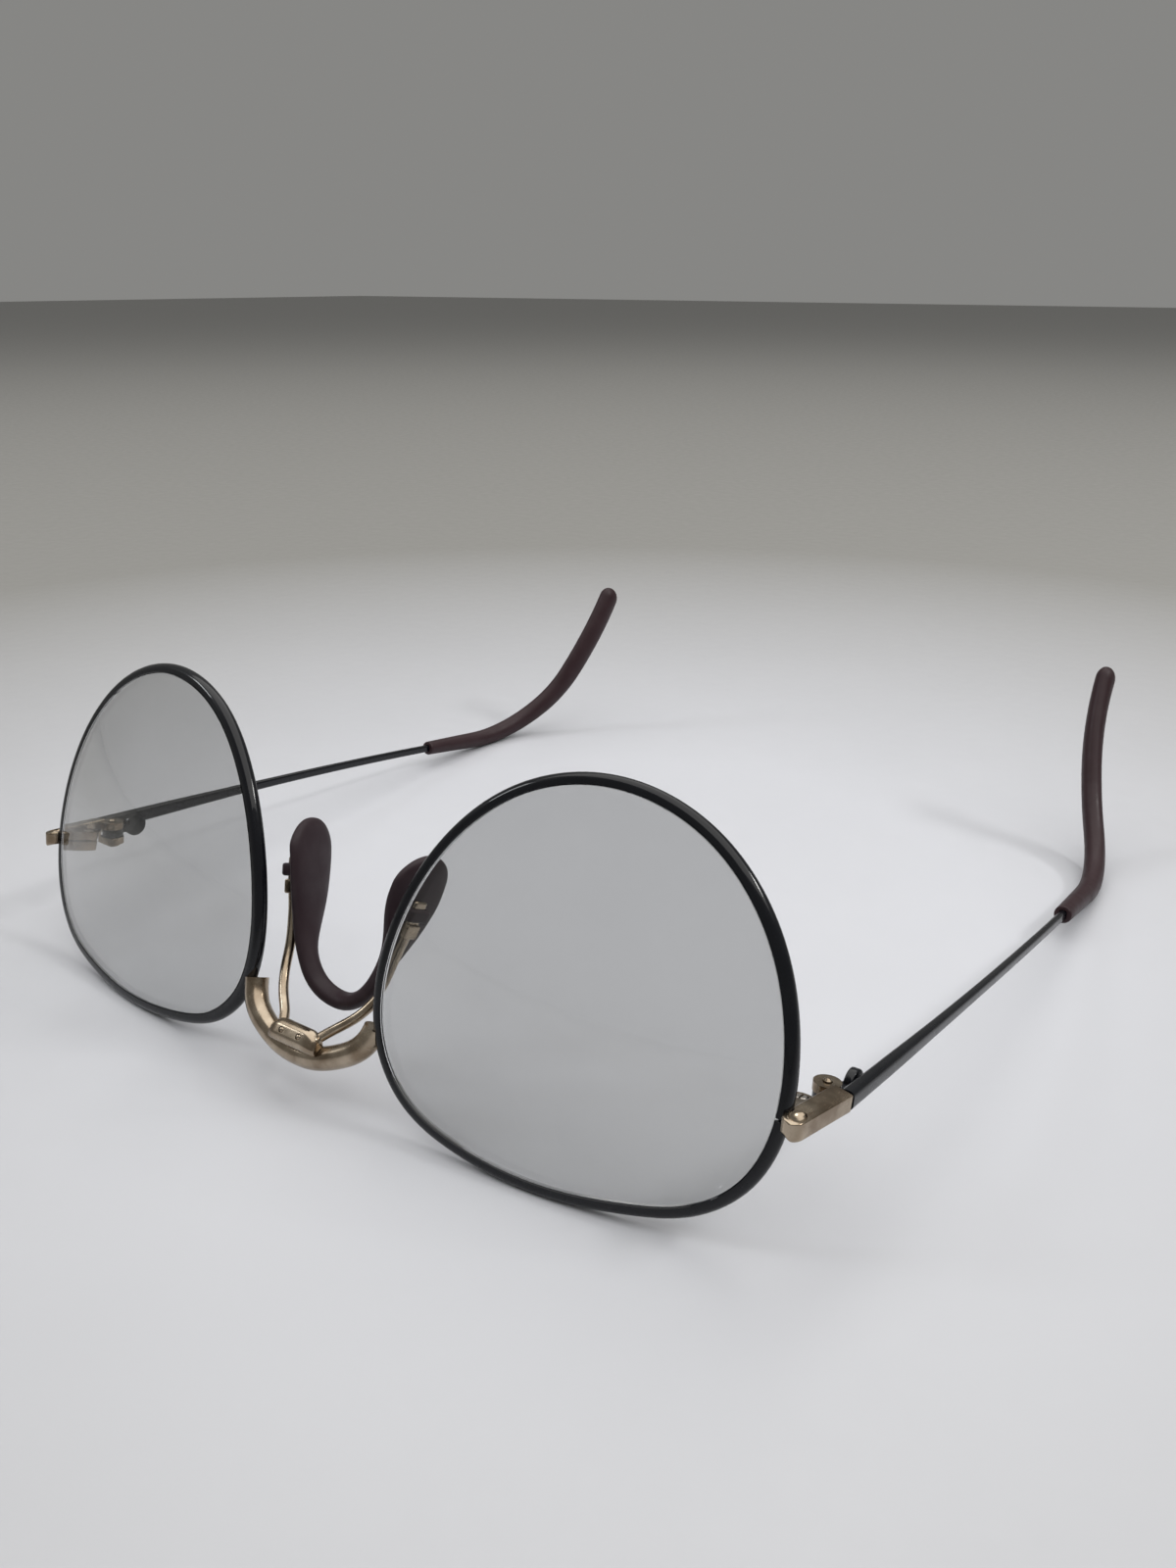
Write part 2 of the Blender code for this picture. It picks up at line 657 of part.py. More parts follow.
def pad_rings():
    path = natural_spline(full_path(PAD_HALF), 1.6)
    points = [Vector(p) for p in path]
    lengths = [0.0]
    for a, b in zip(points, points[1:]):
        lengths.append(lengths[-1] + (b - a).length)
    total = lengths[-1]
    centres, stations = end_refined(points, lengths, PAD_ROUND_LENGTH)
    rings = []
    for i, (centre, station) in enumerate(zip(centres, stations)):
        before, after = centres[max(i - 1, 0)], centres[min(i + 1, len(centres) - 1)]
        tangent = (after - before).normalized()
        share = (abs(station - total / 2.0) - PAD_FLARE_START) / PAD_FLARE_LENGTH
        share = min(1.0, max(0.0, share))
        blend = share * share * (3.0 - 2.0 * share)
        side = 1.0 if centre.x >= 0.0 else -1.0
        splay = PAD_SPLAY * blend
        across = Vector((side * math.sin(splay), math.cos(splay), 0.0))
        across = (across - tangent * across.dot(tangent)).normalized()
        square = tangent.cross(across)
        half_width = STRAP_HALF_WIDTH + (PAD_HALF_WIDTH - STRAP_HALF_WIDTH) * blend
        from_end = min(station, total - station)
        close = min(1.0, from_end / PAD_ROUND_LENGTH)
        shrink = math.sqrt(max(0.0, 1.0 - (1.0 - close) ** 2))
        rings.append(
            oval_ring(
                centre, across * half_width * max(shrink, 0.05),
                square * PAD_HALF_THICKNESS * max(shrink, 0.05) ** 0.6, 12, 2.3,
            )
        )
    return rings


def end_refined(points, lengths, reach):
    """Path points with extra stations close to both ends, where the pad rounds off."""
    total = lengths[-1]
    close = [reach * (1.0 - math.cos(math.radians(a))) for a in (0.0, 18.0, 36.0, 54.0, 72.0)]
    inner = [s for s in lengths if reach * 0.8 < s < total - reach * 0.8]
    stations = close + inner + [total - s for s in reversed(close)]
    columns = np.array([tuple(p) for p in points])
    sampled = [np.interp(stations, lengths, columns[:, k]) for k in range(3)]
    return [Vector(p) for p in zip(*sampled)], stations


def oval_ring(centre, across, square, count, power):
    """Rounded-rectangle ring about a centre, in the part frame."""
    ring = []
    for k in range(count):
        angle = math.tau * k / count
        c, s = math.cos(angle), math.sin(angle)
        a = math.copysign(abs(c) ** (2.0 / power), c)
        b = math.copysign(abs(s) ** (2.0 / power), s)
        ring.append(place(*(centre + across * a + square * b)))
    return ring


def make_pad():
    pad = add_object("saddle_nose_pad", loft_mesh("saddle_nose_pad", pad_rings()), PARTS)
    frame = tab_matrix(LOOP_SHARE)
    inwards = LOOP_WALL + TAB_THICKNESS / 2.0 - LOOP_SIZE[0] / 2.0
    shift = Matrix.Translation(Vector((inwards, 0.0, 0.0)) * MM)
    slot_size = (TAB_THICKNESS + 2 * LOOP_SLOT_GAP, TAB_WIDTH + 2 * LOOP_SLOT_GAP, 4.0)
    for side, label in ((1.0, "right"), (-1.0, "left")):
        flip = Matrix.Scale(side, 4, Vector((1.0, 0.0, 0.0)))
        loop = box(f"pad_loop_{label}", LOOP_SIZE, flip @ frame @ shift, CUTTERS)
        slot = box(f"pad_slot_{label}", slot_size, flip @ frame, CUTTERS)
        if side < 0.0:
            for operand in (loop, slot):
                operand.data.transform(operand.matrix_world)
                operand.matrix_world = Matrix.Identity(4)
                operand.data.flip_normals()
        bevel(loop, 0.4)
        boolean(pad, loop, "UNION")
        boolean(pad, slot)
    smooth_sides(pad, 50.0)
    assign_finish(pad, "burgundy_rubber")


def hinge_matrix():
    """Hinge axis as Z, square to the temple."""
    return Matrix.Translation(place(*HINGE_POINT)) @ Matrix.Rotation(-TEMPLE_DROP, 4, "X")


def rounded_polygon(corners, radii, steps):
    """Convex counter-clockwise outline with each corner rounded by its own radius."""
    outline = []
    count = len(corners)
    for i, corner in enumerate(corners):
        here = Vector(corner)
        before = (Vector(corners[i - 1]) - here).normalized()
        after = (Vector(corners[(i + 1) % count]) - here).normalized()
        half = before.angle(after) / 2.0
        reach = radii[i] / math.tan(half)
        centre = here + (before + after).normalized() * radii[i] / math.sin(half)
        start = here + before * reach - centre
        turn = math.pi - 2.0 * half
        for k in range(steps + 1):
            angle = turn * k / steps
            c, d = math.cos(angle), math.sin(angle)
            spoke = Vector((start.x * c - start.y * d, start.x * d + start.y * c))
            outline.append(centre + spoke)
    return outline


def end_bar_mesh(name, length):
    """Bar along -Y from its rear face, with a creased section and a nose rounded in plan."""
    section = rounded_polygon(END_SECTION, END_ROUNDING, 3)
    nose = [90.0, 74.0, 58.0, 42.0, 28.0, 15.0, 7.0]
    rings = [[Vector((p.x, 0.0, p.y)) * MM for p in section]]
    for degrees in nose:
        angle = math.radians(degrees)
        y = END_NOSE_LENGTH * (1.0 - math.cos(angle)) - length
        narrow = math.sin(angle) ** 0.85
        low = 1.0 - END_NOSE_DROP * (1.0 - math.sin(angle)) ** 2
        rings.append([Vector((p.x * narrow, y, p.y * low)) * MM for p in section])
    return loft_mesh(name, rings)


def make_end_pieces():
    rear, front = place(*END_REAR), place(*END_FRONT)
    length = (rear - front).length / MM
    frame = frame_matrix(rear, rear - front)
    piece = add_object("right_end_piece", end_bar_mesh("right_end_piece", length), PARTS, frame)
    dimple_mesh = bpy.data.meshes.new("end_dimple")
    work = bmesh.new()
    bmesh.ops.create_uvsphere(work, u_segments=16, v_segments=8, radius=MM)
    bmesh.ops.scale(work, vec=DIMPLE_SIZE, verts=work.verts)
    work.to_mesh(dimple_mesh)
    work.free()
    slope = Matrix.Rotation(END_CREASE_ANGLE, 4, "Y")
    across, behind_nose, height = DIMPLE_PLACE
    dimple_place = Matrix.Translation(Vector((across, behind_nose - length, height)) * MM)
    boolean(piece, add_object("end_dimple", dimple_mesh, CUTTERS, frame @ dimple_place @ slope))
    hinge = hinge_matrix()
    boolean(piece, cylinder("front_barrel", BARREL_RADIUS, BARREL_HALF_HEIGHT, hinge, CUTTERS), "UNION")
    web = Matrix.Translation(Vector((0.7, -1.05, 0.0)) * MM)
    web_size = (1.4, 1.1, 2.0 * BARREL_HALF_HEIGHT - 0.1)
    boolean(piece, box("front_web", web_size, hinge @ web, CUTTERS), "UNION")
    boolean(piece, cylinder("front_slot", SLOT_RADIUS, SLOT_HALF_HEIGHT, hinge, CUTTERS))
    gate = Matrix.Translation(Vector((-0.7, 1.0, 0.0)) * MM)
    boolean(piece, box("front_gate", (4.0, 2.2, 2.0 * SLOT_HALF_HEIGHT), hinge @ gate, CUTTERS))
    boolean(piece, cylinder("front_bore", PIVOT_BORE_RADIUS, 4.0, hinge, CUTTERS, 20))
    boolean(piece, rim_clearance("end_trim"))
    boolean(piece, lock_clearance("end_lock_trim"))
    smooth_sides(piece, 30.0)
    pair(piece, "gold_plate")


def temple_heading(s):
    """Sideways and downward angles of the temple: a slight outward bow, then the tip's turns."""
    share = min(1.0, s / TEMPLE_STRAIGHT)
    past = max(0.0, s - TEMPLE_STRAIGHT)
    bend = past / (TEMPLE_LENGTH - TEMPLE_STRAIGHT)
    turned_in, turning_back = TIP_TURN_SHARES
    side = TEMPLE_SPLAY[0] + (TEMPLE_SPLAY[1] - TEMPLE_SPLAY[0]) * share
    side += TIP_TURN_IN * min(1.0, bend / turned_in)
    side += TIP_TURN_BACK * max(0.0, bend - turning_back) / turned_in
    drop = TEMPLE_DROP - TEMPLE_SAG * (1.0 - 2.0 * share)
    return side, drop - min(past / TIP_BEND_RADIUS, TIP_BEND_ANGLE)


def temple_point(s):
    """Centre line of the temple at a distance along it, in millimetres."""
    steps = max(2, int(s))
    x, y, z = TEMPLE_START
    ds = s / steps
    for k in range(steps):
        side, drop = temple_heading((k + 0.5) * ds)
        x += math.sin(side) * math.cos(drop) * ds
        y += math.cos(side) * math.cos(drop) * ds
        z -= math.sin(drop) * ds
    return place(x, y, z)


def rounded_rectangle(half_width, half_height, corner):
    outline = []
    for cx, cy, start in ((1, 1, 0), (-1, 1, 90), (-1, -1, 180), (1, -1, 270)):
        for k in range(3):
            angle = math.radians(start + 45 * k)
            outline.append(
                (
                    cx * (half_width - corner) + corner * math.cos(angle),
                    cy * (half_height - corner) + corner * math.sin(angle),
                )
            )
    return outline


def make_temples(pivots):
    stations = [0.0, 6.0, 12.0, 18.0, 24.0, 31.0, 38.0, 47.0, 56.0, 67.0]
    stations += list(np.arange(TIP_START - 1.0, TEMPLE_CORE_END + 0.1, 4.0))
    scales = list(np.interp(stations, *zip(*TEMPLE_TAPER)))
    section = profile_curve(
        "temple_section", rounded_rectangle(TEMPLE_HALF_WIDTH, TEMPLE_HALF_HEIGHT, 0.6)
    )
    path = [temple_point(s) for s in stations]
    mesh = curve_mesh("right_temple", path, profile=section, radii=scales)
    temple = add_object("right_temple", mesh, PARTS)
    smooth_sides(temple)
    attach(pair(temple, "black_enamel"), pivots)


def tip_ring(s):
    """Oval section of the tip, widest in the plane of its bend and rounded off at the end."""
    share = (s - TIP_START) / (TEMPLE_LENGTH - TIP_START)
    half_width = TIP_MOUTH + (TIP_PADDLE - TIP_MOUTH) * share
    half_thickness = TIP_MOUTH + (TIP_HALF_THICKNESS - TIP_MOUTH) * min(1.0, 4.0 * share)
    to_end = (TEMPLE_LENGTH - s) / TIP_ROUND_LENGTH
    shrink = math.sqrt(1.0 - (1.0 - min(1.0, to_end)) ** 2)
    centre = temple_point(s)
    tangent = (temple_point(s + 0.5) - temple_point(s - 0.5)).normalized()
    turn = temple_heading(s)[0]
    side = Vector((math.cos(turn), -math.sin(turn), 0.0))
    upward = side.cross(tangent).normalized()
    ring = []
    for k in range(TIP_SIDES):
        angle = math.tau * k / TIP_SIDES
        across = side * half_thickness * math.cos(angle) + upward * half_width * math.sin(angle)
        ring.append(centre + across * shrink * MM)
    return ring


def make_tips(pivots):
    stations = list(np.arange(TIP_START, TEMPLE_LENGTH - TIP_ROUND_LENGTH, TIP_STEP))
    stations += [TEMPLE_LENGTH - TIP_ROUND_LENGTH * k for k in (1.0, 0.62, 0.34, 0.14, 0.03)]
    rings = [tip_ring(s) for s in stations] + [[temple_point(TEMPLE_LENGTH)]]
    tip = add_object("right_temple_tip", loft_mesh("right_temple_tip", rings), PARTS)
    bore_stations = [TIP_START - 2.0] + list(np.arange(TIP_START + 3.0, TEMPLE_CORE_END + 3.0, 4.0))
    half_width = TEMPLE_HALF_WIDTH * TEMPLE_END_SCALE + TIP_BORE_GAP
    half_height = TEMPLE_HALF_HEIGHT * TEMPLE_END_SCALE + TIP_BORE_GAP
    section = profile_curve("bore_section", rounded_rectangle(half_width, half_height, 0.4))
    bore = curve_mesh("tip_bore", [temple_point(s) for s in bore_stations], profile=section)
    boolean(tip, add_object("tip_bore", bore, CUTTERS))
    smooth_sides(tip)
    attach(pair(tip, "burgundy_plastic"), pivots)


def make_temple_hinges(pivots):
    hinge = hinge_matrix()
    knuckle = cylinder("right_temple_hinge", KNUCKLE_RADIUS, KNUCKLE_HALF_HEIGHT, hinge)
    lug = Matrix.Translation(Vector((0.72, 2.3, 0.0)) * MM) @ Matrix.Rotation(math.radians(-12.0), 4, "Z")
    lug_size = (1.1, 3.6, 2.0 * KNUCKLE_HALF_HEIGHT)
    boolean(knuckle, box("temple_lug", lug_size, hinge @ lug, CUTTERS), "UNION")
    on_edge = Matrix.Rotation(math.radians(90.0), 4, "Y")
    plate = hinge @ Matrix.Translation(Vector(PLATE_PLACE) * MM) @ on_edge
    disc = cylinder("temple_plate", PLATE_RADIUS, PLATE_HALF_THICKNESS, plate, CUTTERS)
    bevel(disc, 0.2)
    boolean(knuckle, disc, "UNION")
    boolean(knuckle, cylinder("temple_bore", PIVOT_BORE_RADIUS, 3.0, hinge, CUTTERS, 20))
    smooth_sides(knuckle)
    attach(pair(knuckle, "black_enamel"), pivots)


def make_hinge_screws():
    top = BARREL_HALF_HEIGHT + PIVOT_TIP_HEIGHT
    under = -BARREL_HALF_HEIGHT - 0.05
    head = under - PIVOT_HEAD_HEIGHT
    profile = [
        (0.0, top), (0.28, top - 0.05), (PIVOT_RADIUS, top - 0.3), (PIVOT_RADIUS, under),
        (PIVOT_HEAD_RADIUS, under), (PIVOT_HEAD_RADIUS, head + 0.15),
        (PIVOT_HEAD_RADIUS - 0.2, head), (0.0, head),
    ]
    screw = turned("right_hinge_screw", profile, hinge_matrix())
    slot_place = Matrix.Translation(Vector((0.0, 0.0, head)) * MM)
    boolean(screw, box("hinge_screw_slot", (0.28, 4.0, 0.5), hinge_matrix() @ slot_place, CUTTERS))
    pair(screw, "gold_plate")


def make_pivots():
    """Empties on the two hinge axes, which carry the moving pieces."""
    pivots = []
    for label, flip in (("right", 1.0), ("left", -1.0)):
        x, y, z = HINGE_POINT
        empty = bpy.data.objects.new(f"{label}_temple_axis", None)
        empty.empty_display_size = 0.01
        empty.matrix_world = Matrix.Translation(place(flip * x, y, z)) @ Matrix.Rotation(
            -TEMPLE_DROP, 4, "X"
        )
        PARTS.objects.link(empty)
        pivots.append(empty)
    bpy.context.view_layer.update()
    return pivots


def attach(pieces, pivots):
    for piece, pivot in zip(pieces, pivots):
        here = piece.matrix_world.copy()
        piece.parent = pivot
        piece.matrix_parent_inverse = pivot.matrix_world.inverted()
        piece.matrix_world = here


clear_scene()
PARTS = collection("spectacles")
CUTTERS = collection("cutters")
make_rims()
make_lenses()
make_locks()
make_bridge()
make_block()
make_arms()
make_pad()
make_end_pieces()
make_hinge_screws()
TEMPLE_PIVOTS = make_pivots()
make_temples(TEMPLE_PIVOTS)
make_tips(TEMPLE_PIVOTS)
make_temple_hinges(TEMPLE_PIVOTS)
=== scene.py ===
"""Looks of the full-rim metal spectacles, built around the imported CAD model.

Every rigid piece is made again at a finer resolution in the place of its CAD node and rides on the
same body. Lengths are in millimetres in the layout of the CAD model; place() turns them into metres.
"""

import json
import math

import bmesh
import bpy
import numpy as np
from mathutils import Matrix, Vector

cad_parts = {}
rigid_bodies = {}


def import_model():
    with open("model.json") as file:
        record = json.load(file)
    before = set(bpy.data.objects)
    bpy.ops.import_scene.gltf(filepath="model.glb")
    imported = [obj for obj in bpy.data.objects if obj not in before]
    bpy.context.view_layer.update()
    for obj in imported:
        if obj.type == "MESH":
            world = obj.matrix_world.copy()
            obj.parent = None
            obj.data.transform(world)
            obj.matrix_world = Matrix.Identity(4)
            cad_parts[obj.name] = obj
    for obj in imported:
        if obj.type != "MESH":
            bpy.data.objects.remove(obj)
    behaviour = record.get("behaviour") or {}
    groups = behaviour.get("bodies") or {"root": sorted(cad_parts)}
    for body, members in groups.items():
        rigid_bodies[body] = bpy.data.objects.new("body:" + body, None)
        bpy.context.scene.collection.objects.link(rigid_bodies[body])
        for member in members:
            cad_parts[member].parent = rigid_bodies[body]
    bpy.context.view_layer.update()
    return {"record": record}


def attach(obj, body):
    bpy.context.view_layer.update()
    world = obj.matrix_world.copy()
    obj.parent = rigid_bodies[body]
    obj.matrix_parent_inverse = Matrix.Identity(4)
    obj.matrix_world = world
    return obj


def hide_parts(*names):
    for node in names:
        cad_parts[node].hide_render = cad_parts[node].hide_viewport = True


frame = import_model()
BODIES = frame["record"]["behaviour"]["bodies"]
BODY_OF = {node: body for body, nodes in BODIES.items() for node in nodes}
SLOT_OF = {part["node"]: part["material_slot"] for part in frame["record"]["subparts"]}

MM = 0.001

# Where the millimetre layout sits in the part frame
MID_Y = 69.44
FLOOR_LIFT = 0.295

# Lens and rim, in the lens plane: X to the temple side, Y up, Z out of the front
LENS_CENTRE = (37.2, 0.8, 22.4)
LENS_PITCH = math.radians(-17.7)
LENS_WRAP = math.radians(7.0)
BASE_CURVE_RADIUS = 100.0
LENS_THICKNESS = 1.8
LENS_EDGE_GAP = 0.07
LENS_BEVEL_HALF = 0.42
LENS_BEVEL_TIP = 0.38
OUTLINE_STEP = 0.9
OUTLINE = [
    (24.9, 0.0), (20.9, 12.1), (12.1, 21.0), (0.0, 24.1),
    (-11.8, 20.4), (-20.1, 11.6), (-24.7, 0.0), (-25.4, -6.3),
    (-23.7, -13.7), (-19.1, -18.5), (-12.0, -20.8), (0.0, -21.6),
    (11.5, -19.9), (17.4, -18.0), (22.8, -13.1), (24.9, -7.1),
]
RIM_RADIAL = 1.45
RIM_HALF_DEPTH = 0.95
RIM_LIP = 0.5
RIM_SHOULDER = 0.55
RIM_CHAMFER = 0.14
RIM_ROUND_STEPS = 12
GROOVE_DEPTH = 0.5
SOLDER_GAP = 0.06
LENS_RING_SHARES = (0.15, 0.3, 0.45, 0.6, 0.75, 0.88)

# Closing barrel that pulls the split rim together, in the lens frame
SPLIT_HEIGHT = -5.65
SPLIT_GAP = 0.3
SPLIT_CUT = 5.0
LOCK_AXIS = (25.9, -8.0)
LOCK_RADIUS = 1.4
LOCK_NECK = (-0.55, 0.3)
LOCK_FRONT = -3.9
LOCK_FLANK = 2.2
LOCK_ROUND_STEPS = 24
LOCK_TOP = -4.25
LOCK_BOTTOM = -7.2
LOCK_SCREW_RADIUS = 0.5
LOCK_BORE_RADIUS = 0.6
LOCK_HEAD_RADIUS = 0.78
LOCK_HEAD_DEPTH = 0.4
LOCK_HEAD_RISE = 0.05
LOCK_HEAD_CHAMFER = 0.15
LOCK_HEAD_EDGE = -0.08
LOCK_SHAFT_END_GAP = 0.3
LOCK_SLOT_SIZE = (0.26, 3.0, 0.5)
LOCK_SINK_GAP = 0.08
LOCK_SINK_FLOOR_GAP = 0.05
LOCK_BORE_HALF_HEIGHT = 3.0
LOCK_CLEARANCE_END = 0.6

# Bridge bar and the block that carries the pad arms
WIRE_STEP = 0.5
BRIDGE_RADIUS = 1.55
BRIDGE_HALF = [
    (0.0, -5.1, 5.1), (3.4, -5.05, 5.6), (6.6, -4.5, 6.8),
    (9.1, -3.6, 8.3), (10.3, -2.6, 9.9), (10.7, -2.0, 11.1),
]
BLOCK_HALF_WIDTH = 4.1
BLOCK_SECTION = [
    (-4.2, 5.8), (-4.1, 8.7), (-4.8, 9.4), (-5.9, 9.4),
    (-7.05, 8.15), (-7.0, 7.3), (-6.3, 6.4),
]
BLOCK_ROUNDING = [0.4, 1.1, 1.1, 1.1, 0.9, 0.9, 1.0]
BLOCK_ROUND_STEPS = 10
BLOCK_SEAT = (-5.9, 6.6)
BLOCK_END_SHARE = 0.45
BLOCK_STATIONS = [0.0, 0.5, 0.55, 0.6, 0.66, 0.72, 0.79, 0.85, 0.9, 0.94, 0.97, 0.99, 1.0]
PIN_RADIUS = 0.34
PIN_PROFILE = [(0.0, 0.12), (0.2, 0.08), (PIN_RADIUS, -0.08), (PIN_RADIUS, -0.4), (0.0, -0.4)]
PIN_SIDES = 32
PIN_HOLE_RADIUS = 0.42
PIN_HOLE_HALF_DEPTH = 0.5
PIN_SPACING = 1.5
PIN_FOOT = (-6.5, 8.775)
PIN_DIRECTION = (0.0, -1.35, 1.2)

# Wire arms that hold the nose pad
ARM_RADIUS = 0.65
ARM_SOCKET_RADIUS = 0.72
ARM_PATH = [
    (2.7, -5.3, 7.85), (3.3, -4.5, 8.3), (3.9, -3.7, 8.75), (5.4, -2.35, 9.8),
    (6.8, -1.0, 10.95), (7.9, 0.5, 12.4), (8.7, 2.1, 14.2), (9.25, 3.3, 16.4), (9.85, 4.35, 18.8),
]
SHOULDER_CENTRE = (10.7, 5.4, 21.4)
SHOULDER_SIZE = (1.6, 2.0, 1.9)
SHOULDER_BEVEL = 0.25
TAB_END = (11.6, 6.85, 24.95)
TAB_WIDTH = 1.9
TAB_THICKNESS = 0.8
TAB_BEVEL = 0.35

# Saddle nose pad
PAD_HALF = [
    (0.0, 2.2, 9.4), (2.8, 2.1, 10.2), (5.4, 2.6, 12.4), (6.85, 3.5, 14.9), (7.7, 4.6, 17.1),
    (8.4, 5.9, 19.8), (9.0, 7.0, 22.7), (9.6, 7.95, 25.5), (10.2, 8.6, 27.9), (10.6, 8.95, 30.0),
]
PAD_SPLAY = math.radians(15.0)
STRAP_HALF_WIDTH = 1.4
PAD_HALF_WIDTH = 4.45
PAD_FLARE_START = 7.0
PAD_FLARE_LENGTH = 14.0
PAD_HALF_THICKNESS = 1.05
PAD_ROUND_LENGTH = 4.0
PAD_ROUND_ANGLES = range(0, 80, 6)
PAD_ROUND_CLEAR = 0.8
PAD_END_SHARE = 0.05
PAD_END_THINNING = 0.6
PAD_STEP = 0.7
PAD_SIDES = 32
PAD_SQUARENESS = 2.3
LOOP_SIZE = (2.6, 3.0, 1.7)
LOOP_SHARE = 0.56
LOOP_WALL = 0.62
LOOP_BEVEL = 0.4
LOOP_SLOT_GAP = 0.12
LOOP_SLOT_LENGTH = 4.0

# End piece with the front half of the hinge
END_REAR = (64.95, 13.85, 14.15)
END_FRONT = (63.65, 3.2, 15.75)
END_CREASE_ANGLE = math.radians(20.0)
END_SECTION = [(-1.3, -1.0), (0.9, -1.65), (1.3, -1.45), (1.3, 0.6), (-1.3, 0.95)]
END_ROUNDING = [0.35, 0.25, 0.35, 0.15, 0.35]
END_ROUND_STEPS = 8
END_NOSE_LENGTH = 1.6
END_NOSE_ANGLES = [*range(90, 6, -4), 7]
END_NOSE_FULLNESS = 0.85
END_NOSE_DROP = 0.45
DIMPLE_SIZE = (0.9, 1.3, 0.6)
DIMPLE_PLACE = (0.15, 1.75, 0.85)

# Hinge
HINGE_POINT = (62.8, 14.5, 12.95)
TEMPLE_DROP = math.radians(7.3)
BARREL_RADIUS = 1.6
BARREL_HALF_HEIGHT = 1.75
WEB_PLACE = (0.7, -1.05, 0.0)
WEB_SIZE = (1.4, 1.1, 2.0 * BARREL_HALF_HEIGHT - 0.1)
KNUCKLE_RADIUS = 1.5
KNUCKLE_HALF_HEIGHT = 0.58
LUG_PLACE = (0.72, 2.3, 0.0)
LUG_TURN = math.radians(-12.0)
LUG_SIZE = (1.1, 3.6, 2.0 * KNUCKLE_HALF_HEIGHT)
PLATE_RADIUS = 1.8
PLATE_HALF_THICKNESS = 0.55
PLATE_PLACE = (1.1, 4.7, 0.05)
PLATE_BEVEL = 0.2
SLOT_RADIUS = 1.75
SLOT_HALF_HEIGHT = 0.68
GATE_PLACE = (-0.7, 1.0, 0.0)
GATE_SIZE = (4.0, 2.2, 2.0 * SLOT_HALF_HEIGHT)
PIVOT_RADIUS = 0.5
PIVOT_BORE_RADIUS = 0.57
FRONT_BORE_HALF_HEIGHT = 4.0
KNUCKLE_BORE_HALF_HEIGHT = 3.0
PIVOT_HEAD_RADIUS = 0.95
PIVOT_HEAD_HEIGHT = 0.5
PIVOT_HEAD_CHAMFER = (0.2, 0.15)
PIVOT_SEAT_GAP = 0.05
PIVOT_TIP_HEIGHT = 0.45
PIVOT_TIP_DOME = (0.28, 0.05)
PIVOT_TIP_TAPER = 0.3
PIVOT_SLOT_SIZE = (0.28, 4.0, 0.5)

# Temple and its plastic tip
TEMPLE_START = (65.4, 14.15, 13.65)
TEMPLE_SPLAY = (math.radians(2.5), math.radians(-2.0))
TEMPLE_SAG = math.radians(1.3)
TEMPLE_STRAIGHT = 93.45
TEMPLE_LENGTH = 145.45
TIP_BEND_RADIUS = 28.8
TIP_BEND_ANGLE = math.radians(61.3)
TIP_TURN_IN = math.radians(-23.3)
TIP_TURN_BACK = math.radians(26.3)
TIP_TURN_SHARES = (0.4, 0.6)
TEMPLE_HALF_WIDTH = 0.8
TEMPLE_HALF_HEIGHT = 1.05
TEMPLE_TAPER = [(0.0, 1.1), (12.0, 1.0), (24.0, 0.84), (38.0, 0.74), (56.0, 0.7), (78.0, 0.68)]
TEMPLE_END_SCALE = 0.68
TEMPLE_CORNER = 0.6
TEMPLE_STEP = 2.0
TEMPLE_CORE_END = 124.0
TIP_START = 79.0
TIP_BORE_GAP = 0.07
TIP_BORE_CORNER = 0.4
TIP_BORE_STEP = 4.0
TIP_BORE_LEAD = -2.0
TIP_BORE_INSIDE = 3.0
TIP_HALF_THICKNESS = 1.7
TIP_MOUTH = 1.38
TIP_PADDLE = 2.65
TIP_THICKENING = 4.0
TIP_LIP_LENGTH = 0.3
TIP_LIP_SHRINK = 0.13
TIP_LIP_STATIONS = (0.0, 0.05, 0.15, 0.3)
TIP_BODY_START = 0.7
TIP_ROUND_LENGTH = 2.4
TIP_ROUND_SHARES = (1.0, 0.8, 0.62, 0.46, 0.32, 0.2, 0.12, 0.05, 0.01)
TIP_STEP = 1.5
TIP_SIDES = 48

SUFFIX = "_look"
ROUND_SEGMENTS = 48
CORNER_STEPS = 6
PATH_NUDGE = 0.5
MERGE_DISTANCE = 0.000001
TURNED_MERGE_DISTANCE = 0.00001
SHARP_ANGLE = math.radians(32.0)
BEVEL_SEGMENTS = 4
BEVEL_ANGLE = math.radians(40.0)
TUBE_ROUNDS = 8
QUARTER_TURN = math.radians(90.0)
ALONG_Y = Matrix.Rotation(QUARTER_TURN, 4, "X")
MIRROR = Matrix.Scale(-1.0, 4, Vector((1.0, 0.0, 0.0)))

